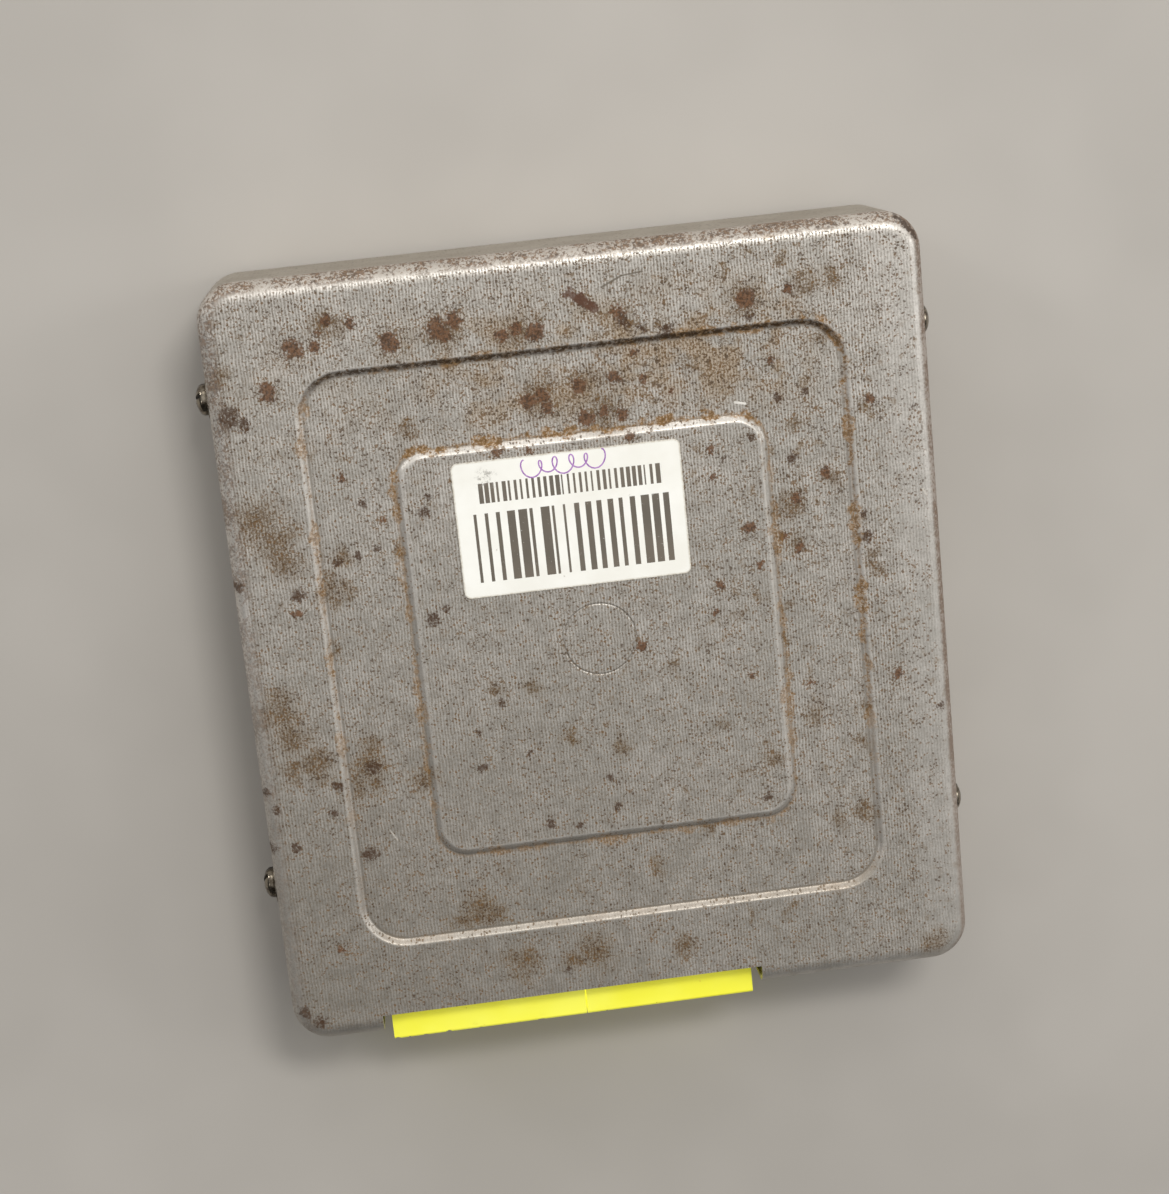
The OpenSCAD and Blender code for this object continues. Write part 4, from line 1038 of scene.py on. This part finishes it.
def label_paper():
    g = new_material("label_paper")
    place = g.place()
    x, y, _ = g.split(place)
    fibre = g.noise(place, 1.2, 4, 0.7)
    patch = g.noise(place, 0.08, 3, 0.6)
    paper = g.blend(g.fade(patch, 0.3, 0.7), (244, 242, 233), (252, 251, 244))

    def bars(pitch, low, high, left, right, seed):
        """Upright bars of uneven width, one to a pitch."""
        run = g.math("DIVIDE", g.minus(x, left), pitch)
        chance = g.chance(W=g.plus(g.math("FLOOR", run), seed))
        width = g.scaled(chance, 0.6, 0.2)
        ink = g.math("LESS_THAN", g.math("FRACT", run), width)
        for value, near, far in ((x, left, right), (y, low, high)):
            ink = g.times(ink, g.math("GREATER_THAN", value, near))
            ink = g.times(ink, g.math("LESS_THAN", value, far))
        return ink

    ink = g.most(*(bars(*row) for row in BAR_ROWS))
    paled = g.fade(g.noise(place, 1.8, 4, 0.75), 0.66, 0.74)
    ink = g.times(ink, g.minus(1, paled))
    brown = g.blend(g.fade(patch, 0.35, 0.65), (98, 87, 73), (84, 74, 60))
    g.colour = g.blend(g.times(ink, 0.95), paper, brown)
    shift = {"Vector": place, "Location": (-LABEL_X / MM, -LABEL_Y / MM, 0)}
    centred = g.add("Mapping", shift).outputs[0]
    edge = g.outside(centred, 25, 15, 1.5)
    soil = g.times(g.fade(edge, -0.5, 0), g.fade(fibre, 0.4, 0.6, 0.35, 0.8))
    rub = g.vector("DISTANCE", place, (-21, 38.5, 32), out=1)
    rub = g.times(g.fade(rub, 3.4, 0.8), g.fade(fibre, 0.5, 0.62, 0, 0.8))
    dots = g.specks(place, 0.5, 0.08)
    g.paint(soil, (176, 164, 142))
    g.paint(rub, (150, 146, 138))
    g.paint(dots, (140, 122, 96), 0.5)
    return g.surface(
        Base_Color=g.colour,
        Roughness=g.scaled(fibre, 0.2, 0.42),
        Normal=g.bump(g.minus(fibre, rub), 0.03 * MM, 0.35),
    )


dress(label, label_paper(), "paper_label")

# the pen's loops, a flattened stroke on the paper
PEN_LOOPS, PEN_START, PEN_END, PEN_Y = 5, -12.5 * MM, 4.5 * MM, 39.6 * MM
PEN_R, PEN_WIDE, PEN_HIGH, PEN_CLIMB = 0.16 * MM, 1.2 * MM, 1.7 * MM, 0.6 * MM
PEN_FLAT = PEN_T / (0.36 * MM)
LOOP_STEPS = 16
points = []
for i in range(PEN_LOOPS * LOOP_STEPS + 1):
    turn = 2 * pi * i / LOOP_STEPS
    share = i / (PEN_LOOPS * LOOP_STEPS)
    swell = 1 + 0.25 * sin(2.2 * turn / PEN_LOOPS + 1)
    points.append(
        (
            PEN_START + (PEN_END - PEN_START) * share - PEN_WIDE * swell * sin(turn),
            PEN_Y + PEN_HIGH * swell * cos(turn) + PEN_CLIMB * share,
            PAPER_TOP + PEN_T / 2,
        )
    )
deselect()
stroke = bpy.data.curves.new("pen_mark", "CURVE")
stroke.dimensions = "3D"
stroke.bevel_depth = PEN_R
stroke.bevel_resolution = 2
stroke.use_fill_caps = True
spline = stroke.splines.new("POLY")
spline.points.add(len(points) - 1)
for point, place in zip(spline.points, points):
    point.co = (*place, 1)
pen_mark = bpy.data.objects.new("pen_mark", stroke)
bpy.context.collection.objects.link(pen_mark)
use(pen_mark)
bpy.ops.object.convert(target="MESH")
mode("EDIT")
bpy.ops.mesh.select_all(action="SELECT")
bpy.ops.mesh.remove_doubles(threshold=0.005 * MM)
middle_z = (0, 0, PAPER_TOP + PEN_T / 2)
bpy.ops.transform.resize(value=(1, 1, PEN_FLAT), center_override=middle_z)
mode("OBJECT")
settle(pen_mark, 60)


def pen_ink():
    g = new_material("pen_ink")
    place = g.place()
    uneven = g.fade(g.noise(place, 1.5, 2), 0.3, 0.7)
    return g.surface(
        Base_Color=g.blend(uneven, (150, 92, 172), (188, 146, 204)),
        Roughness=g.scaled(uneven, 0.2, 0.4),
    )


dress(pen_mark, pen_ink())

# ---- Nuts, standoffs and small screws ---------------------------------------
# Plated steel nuts pressed into the tray's walls, nickel-plated brass standoffs
# swaged into its floor, and the pan-head screws that hold the board and headers.
BOARD_TOP = 8.6  # mm


def repaint(node, material, metal=None, bare=None):
    """Gives a CAD node its finish, and the faces that a test calls bare its metal."""
    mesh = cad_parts[node].data
    mesh.materials.clear()
    mesh.materials.append(material)
    if metal:
        mesh.materials.append(metal)
        for face in mesh.polygons:
            corners = [mesh.vertices[i].co / MM for i in face.vertices]
            face.material_index = int(bare(corners))


def below(level):
    """A test for faces that lie under a height in mm."""
    return lambda corners: max(c.z for c in corners) < level + 0.01 and (
        min(c.z for c in corners) < level - 0.05
    )


def drawn_metal(name, light, dark, rough=0.3, grain=(1, 1, 1), tarnish=0.25):
    """Plated or bare metal with a drawn or milled grain and some tarnish."""
    g = new_material(name)
    place = g.place()
    stretched = g.vector("MULTIPLY", place, grain)
    lines = g.noise(stretched, 1.4, 4, 0.7)
    clouds = g.noise(place, 0.12, 4, 0.65)
    g.colour = g.blend(g.fade(lines, 0.3, 0.7), light, dark)
    dull = g.fade(clouds, 0.5, 0.72, 0, tarnish)
    g.paint(dull, (104, 94, 80))
    return g.surface(
        Base_Color=g.colour,
        Metallic=g.scaled(dull, -0.8, 1),
        Roughness=g.scaled(lines, 0.25, rough - 0.1),
        Normal=g.bump(lines, 0.02 * MM, 0.4),
    )


zinc = drawn_metal("zinc_plate", (206, 202, 188), (172, 166, 148), 0.34)
nickel = drawn_metal("nickel_plate", (214, 206, 186), (176, 166, 144), 0.28)
for node in ("clinch_nuts", "board_screws", "header_screws"):
    repaint(node, zinc)
repaint("board_standoffs", nickel)

# ---- Insulating sheet -------------------------------------------------------
# A thin sheet of ivory film laid over the tray's raised panel, so that the ends
# of the leads under the board can't touch steel.


def moulded(name, light, dark, rough=0.45, grain=2, depth=0.02, mark=None):
    """Moulded, dipped or rolled insulation: fine grain, clouds and a little dust."""
    g = new_material(name)
    place = g.place()
    fine = g.noise(place, grain, 3, 0.7)
    g.colour = g.blend(g.fade(g.noise(place, 0.15, 3, 0.6), 0.3, 0.7), light, dark)
    dust = g.fade(fine, 0.54, 0.74, 0, 0.2)
    if mark:
        mark(g, place)
    g.paint(dust, (156, 148, 134))
    return g.surface(
        Base_Color=g.colour,
        Roughness=g.scaled(fine, 0.3, rough - 0.15),
        Normal=g.bump(fine, depth * MM, 0.5),
    )


sheet_film = moulded("sheet_film", (226, 220, 196), (206, 198, 170), 0.36, 0.8)
repaint("insulating_sheet", sheet_film)

# ---- Circuit board ----------------------------------------------------------
# A board of glass-filled epoxy under green lacquer. Its copper tracks run in
# bundles along and across it, and show through as paler lines.


def tracks(g, place):
    """Bundles of tracks, along X in some fields of the board and along Y in others."""
    x, y, _ = g.split(place)
    field = g.add(
        "TexVoronoi",
        {"Vector": g.vector("MULTIPLY", place, (1, 1, 0)), "Scale": 0.09},
        distance="CHEBYCHEV",
    ).outputs["Color"]
    along, dense, shift = g.add("SeparateColor", {0: field}).outputs
    turned = g.math("GREATER_THAN", along, 0.5)
    across = g.plus(g.times(turned, y), shift)
    across = g.scaled(g.minus(1, turned), x, across)
    line = g.fade(g.math("PINGPONG", across, 0.635), 0.18, 0.3)
    line = g.times(line, g.math("GREATER_THAN", dense, 0.25))
    plane = g.math("LESS_THAN", dense, 0.1)
    g.paint(g.most(line, plane), (64, 122, 62), 0.8)


board_green = moulded("board_green", (24, 76, 44), (18, 62, 38), 0.3, 2.4, 0.03, tracks)
repaint("circuit_board", board_green)

# ---- Header pins ------------------------------------------------------------
# Square brass pins in two rows through each header's back wall, turned down into
# the board and tinned.
brass = drawn_metal("pin_brass", (224, 200, 132), (190, 160, 92), 0.28)
tinned = drawn_metal("tinned_lead", (204, 204, 200), (166, 164, 158), 0.36)


def leaded(node, material, clear=0):
    """Finishes a CAD node, with tin on what lies under a clearance above the board."""
    repaint(node, material, tinned, below(BOARD_TOP + clear))


for node in ("left_header_pins", "right_header_pins"):
    leaded(node, brass, 1)

# ---- Heat sink and power devices --------------------------------------------
# An angle of aluminium along the far edge of the board. Six transistors and the
# regulator are screwed to it through grey silicone pads, and a bronze spring
# clipped over it presses on the cover and earths it.
aluminium = drawn_metal(
    "sink_aluminium", (206, 206, 204), (180, 180, 177), 0.38, (0.08, 2, 2)
)
repaint("heat_sink", aluminium)
for node in ("heat_sink_screws", "transistor_screws"):
    repaint(node, zinc)
pad_rubber = moulded("pad_rubber", (166, 170, 172), (146, 150, 152), 0.6, 3.2, 0.03)
repaint("transistor_pads", pad_rubber)
device_black = moulded("device_plastic", (40, 40, 42), (30, 30, 32), 0.5, 4)
device_tab = drawn_metal("device_tab", (196, 196, 194), (160, 160, 156))
DEVICE_LOW, DEVICE_HIGH = BOARD_TOP + 4, BOARD_TOP + 13
under_device = below(DEVICE_LOW)


def on_tab_or_leg(corners):
    above = min(c.z for c in corners) > DEVICE_HIGH - 0.01
    return under_device(corners) or (
        above and max(c.z for c in corners) > DEVICE_HIGH + 0.05
    )


for node in ("power_transistors", "voltage_regulator"):
    repaint(node, device_black, device_tab, on_tab_or_leg)
bronze = drawn_metal("spring_bronze", (206, 158, 104), (168, 120, 76), 0.3)
repaint("ground_spring", bronze)

# ---- Chips ------------------------------------------------------------------
# Black moulded chips with tinned legs: the processor and input chips soldered
# flat, the drivers through the board. The memory is a ceramic chip with a round
# window, plugged into a socket so that it could be changed.
chip_black = moulded("chip_plastic", (38, 38, 40), (30, 30, 33), 0.55, 5)


def middle(node):
    low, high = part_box(node)
    return (low + high) / 2 / MM


def beyond(node, half_x, half_y):
    """A test for faces outside a body of a given half width and half depth."""
    at = middle(node)

    def test(corners):
        reach = [max(abs(c.x - at.x) - half_x, abs(c.y - at.y) - half_y) for c in corners]
        return min(reach) > -0.02 and max(reach) > 0.05

    return test


repaint("microcontroller", chip_black, tinned, beyond("microcontroller", 12, 12))
repaint("input_chips", chip_black, tinned, beyond("input_chips", 100, 3.75))
repaint("driver_chips", chip_black, tinned, beyond("driver_chips", 100, 3.2))
leaded("memory_socket", chip_black)
memory_at = middle("memory_chip")


def window(g, place):
    """The round quartz window in the chip's top."""
    centre = (memory_at.x, memory_at.y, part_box("memory_chip")[1].z / MM)
    reach = g.vector("DISTANCE", place, centre, out=1)
    g.paint(g.fade(reach, 4.5, 4.3), (196, 176, 120))
    g.paint(g.fade(reach, 3.9, 3.7), (70, 62, 66))


ceramic = moulded("chip_ceramic", (118, 88, 86), (104, 76, 76), 0.5, 3, 0.02, window)
repaint("memory_chip", ceramic, tinned, beyond("memory_chip", 6.7, 100))
hybrid_blue = moulded("hybrid_coating", (36, 58, 96), (28, 46, 80), 0.32, 1, 0.06)
leaded("hybrid_modules", hybrid_blue, 1)
can_metal = drawn_metal("can_metal", (210, 208, 200), (182, 180, 170), 0.26)
repaint("clock_crystal", can_metal)

# ---- Capacitors -------------------------------------------------------------
# Two sizes of can in blue sleeves with bare aluminium ends and a pale stripe at
# the negative side, red dipped film capacitors, and small tan ceramic discs.


def can_sleeve(node, radius, pitch):
    """Blue sleeve on a row of cans that are set a pitch apart along Y."""
    low, high = (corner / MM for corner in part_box(node))

    def mark(g, place):
        x, y, z = g.split(place)
        from_end = g.minus(y, low.y)
        step = g.math("WRAP", from_end, 0, pitch)
        across = g.minus(x, (low.x + high.x) / 2)
        along = g.minus(step, radius)
        round_reach = g.vector("LENGTH", g.vector_of(across, along), out=1)
        stripe = g.fade(across, -radius * 0.86, -radius * 0.9)
        g.paint(stripe, (196, 204, 214))
        end = g.fade(round_reach, radius * 0.8, radius * 0.78)
        end = g.times(end, g.math("GREATER_THAN", z, high.z - 0.05))
        score = g.least(g.size(across), g.size(along))
        tone = g.blend(g.fade(score, 0.25, 0.12), (198, 198, 196), (96, 96, 94))
        g.paint(end, tone)

    return moulded(node + "_sleeve", (34, 58, 122), (26, 46, 100), 0.3, 2, 0.02, mark)


leaded("main_capacitor", can_sleeve("main_capacitor", 8, 40))
leaded("small_capacitors", can_sleeve("small_capacitors", 4, 10))
film_red = moulded("film_red", (150, 46, 36), (128, 36, 30), 0.28, 1.2, 0.05)
leaded("film_capacitors", film_red)
disc_tan = moulded("disc_tan", (196, 140, 86), (178, 122, 72), 0.5, 3, 0.03)
leaded("disc_capacitors", disc_tan)

# ---- Resistors and diodes ---------------------------------------------------
# Tan film resistors with painted bands in two rows, white cement power resistors,
# black resistor networks, and black diodes with a silver band, on tinned leads.
RESISTOR_HALF, RESISTOR_REACH, RESISTOR_STEP = 3.15, 5.3, 6
resistor_low, resistor_high = (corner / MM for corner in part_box("resistors"))
ROW_YS = (resistor_low.y + RESISTOR_REACH, resistor_high.y - RESISTOR_REACH)


def off_body(rows, half):
    """A test for faces beyond the ends of bodies that lie along Y in rows."""

    def test(corners):
        row = min(rows, key=lambda y: abs(corners[0].y - y))
        reach = [abs(c.y - row) - half for c in corners]
        return min(reach) > -0.02 and max(reach) > 0.05

    return test


def colour_bands(g, place):
    """Four painted bands on each resistor, their colours by chance."""
    x, y, _ = g.split(place)
    for row in ROW_YS:
        for band, offset in enumerate((-2.1, -0.9, 0.3, 2)):
            reach = g.size(g.minus(y, row + offset))
            column = g.math("ROUND", g.math("DIVIDE", x, RESISTOR_STEP))
            seed = g.vector_of(column, float(band), row)
            paint = g.add("TexWhiteNoise", {"Vector": seed}).outputs["Color"]
            paint = g.blend(0.45, paint, (92, 52, 30))
            g.paint(g.fade(reach, 0.34, 0.26), paint)


tan = moulded(
    "resistor_tan", (214, 184, 138), (200, 168, 122), 0.4, 2, 0.01, colour_bands
)
repaint("resistors", tan, tinned, off_body(ROW_YS, RESISTOR_HALF))
power_white = moulded("power_ceramic", (222, 218, 206), (204, 200, 188), 0.7, 3, 0.06)
leaded("power_resistors", power_white, 2)
diode_y = middle("diodes").y


def cathode(g, place):
    y = g.split(place)["Y"]
    reach = g.size(g.minus(y, diode_y + 1.8))
    g.paint(g.fade(reach, 0.44, 0.36), (196, 196, 194))


repaint(
    "diodes",
    moulded("diode_black", (34, 34, 36), (26, 26, 28), 0.5, 4, 0.02, cathode),
    tinned,
    off_body((diode_y,), 2.6),
)
leaded("resistor_networks", chip_black)

# ---- Chokes and surge absorber ----------------------------------------------
# Ferrite bobbins wound with enamelled copper wire, and a blue dipped disc across
# the supply that takes its surges.
ferrite = moulded("ferrite", (66, 64, 62), (50, 48, 47), 0.6, 3, 0.04)
leaded("choke_cores", ferrite)
copper = drawn_metal("copper_wire", (192, 104, 58), (158, 76, 40), 0.26)
repaint("choke_windings", copper)
varistor_blue = moulded("varistor_blue", (50, 96, 150), (40, 80, 130), 0.34, 1.4, 0.05)
leaded("surge_absorber", varistor_blue)

# ---- Floor, light and camera ------------------------------------------------
# A plain pale floor under soft studio light, with the main lamp beyond the far
# end of the case, so that its far bends shine and its near end falls in shade.
deselect()
bpy.ops.mesh.primitive_plane_add(size=8, location=(0, 0, 0))
floor = bpy.context.object
floor.name = floor.data.name = "floor"
g = new_material("floor_paint")
tone = g.fade(g.noise(g.place(), 0.01, 3, 0.6), 0.3, 0.7)
paint = g.surface(
    Base_Color=g.blend(tone, (174, 169, 162), (182, 177, 170)),
    Roughness=0.7,
)
floor.data.materials.append(paint)

world = bpy.data.worlds.new("studio")
bpy.context.scene.world = world
world.use_nodes = True
world.node_tree.nodes.clear()
g = Graph(world.node_tree)
heading = g.add("TexCoord").outputs["Generated"]
toward = g.vector("DOT_PRODUCT", heading, (0.3, 0.74, 0.6), out=1)
level = g.fade(toward, 0, 0.9, 0.05, 0.95)
sky = g.add("Background", {"Color": (1, 0.995, 0.985, 1), "Strength": level})
world_out = world.node_tree.nodes.new("ShaderNodeOutputWorld")
world.node_tree.links.new(sky.outputs[0], world_out.inputs["Surface"])
WARM = (1, 0.985, 0.96)


def lamp(name, place, size, power, tint=(1, 1, 1)):
    """A soft oblong lamp that points at the middle of the case."""
    deselect()
    bpy.ops.object.light_add(type="AREA", location=place)
    made = bpy.context.object
    made.name = name
    made.data.shape = "RECTANGLE"
    made.data.size, made.data.size_y = size
    made.data.energy = power
    made.data.color = tint
    made.rotation_mode = "QUATERNION"
    made.rotation_quaternion = made.location.to_track_quat("Z", "Y")


lamp("far_lamp", (0.1, 1.25, 0.7), (1.2, 0.4), 2.7, WARM)
lamp("high_lamp", (0.3, 0.66, 1.15), (0.4, 0.2), 7.2, WARM)
lamp("corner_lamp", (-0.95, 0.75, 0.24), (0.15, 0.15), 2)
lamp("left_lamp", (-0.9, -0.1, 0.8), (0.3, 0.3), 0.7)
lamp("right_lamp", (1.3, 0.2, 0.7), (0.4, 0.8), 3.4)

CAMERA_AT = (-0.0364, 0.1247, 0.5198)
CAMERA_AXES = [
    (0.99053, 0.1195, -0.06761),
    (-0.10121, 0.96826, 0.22855),
    (0.09278, -0.21954, 0.97118),
]
deselect()
bpy.ops.object.camera_add(location=CAMERA_AT)
camera = bpy.context.object
camera.name = "camera"
camera.data.lens = 69.1
camera.data.sensor_width = 36
camera.data.clip_start = 0.01
camera.rotation_mode = "QUATERNION"
camera.rotation_quaternion = Matrix(CAMERA_AXES).to_quaternion()
bpy.context.scene.camera = camera
bpy.context.scene.view_settings.view_transform = "Standard"
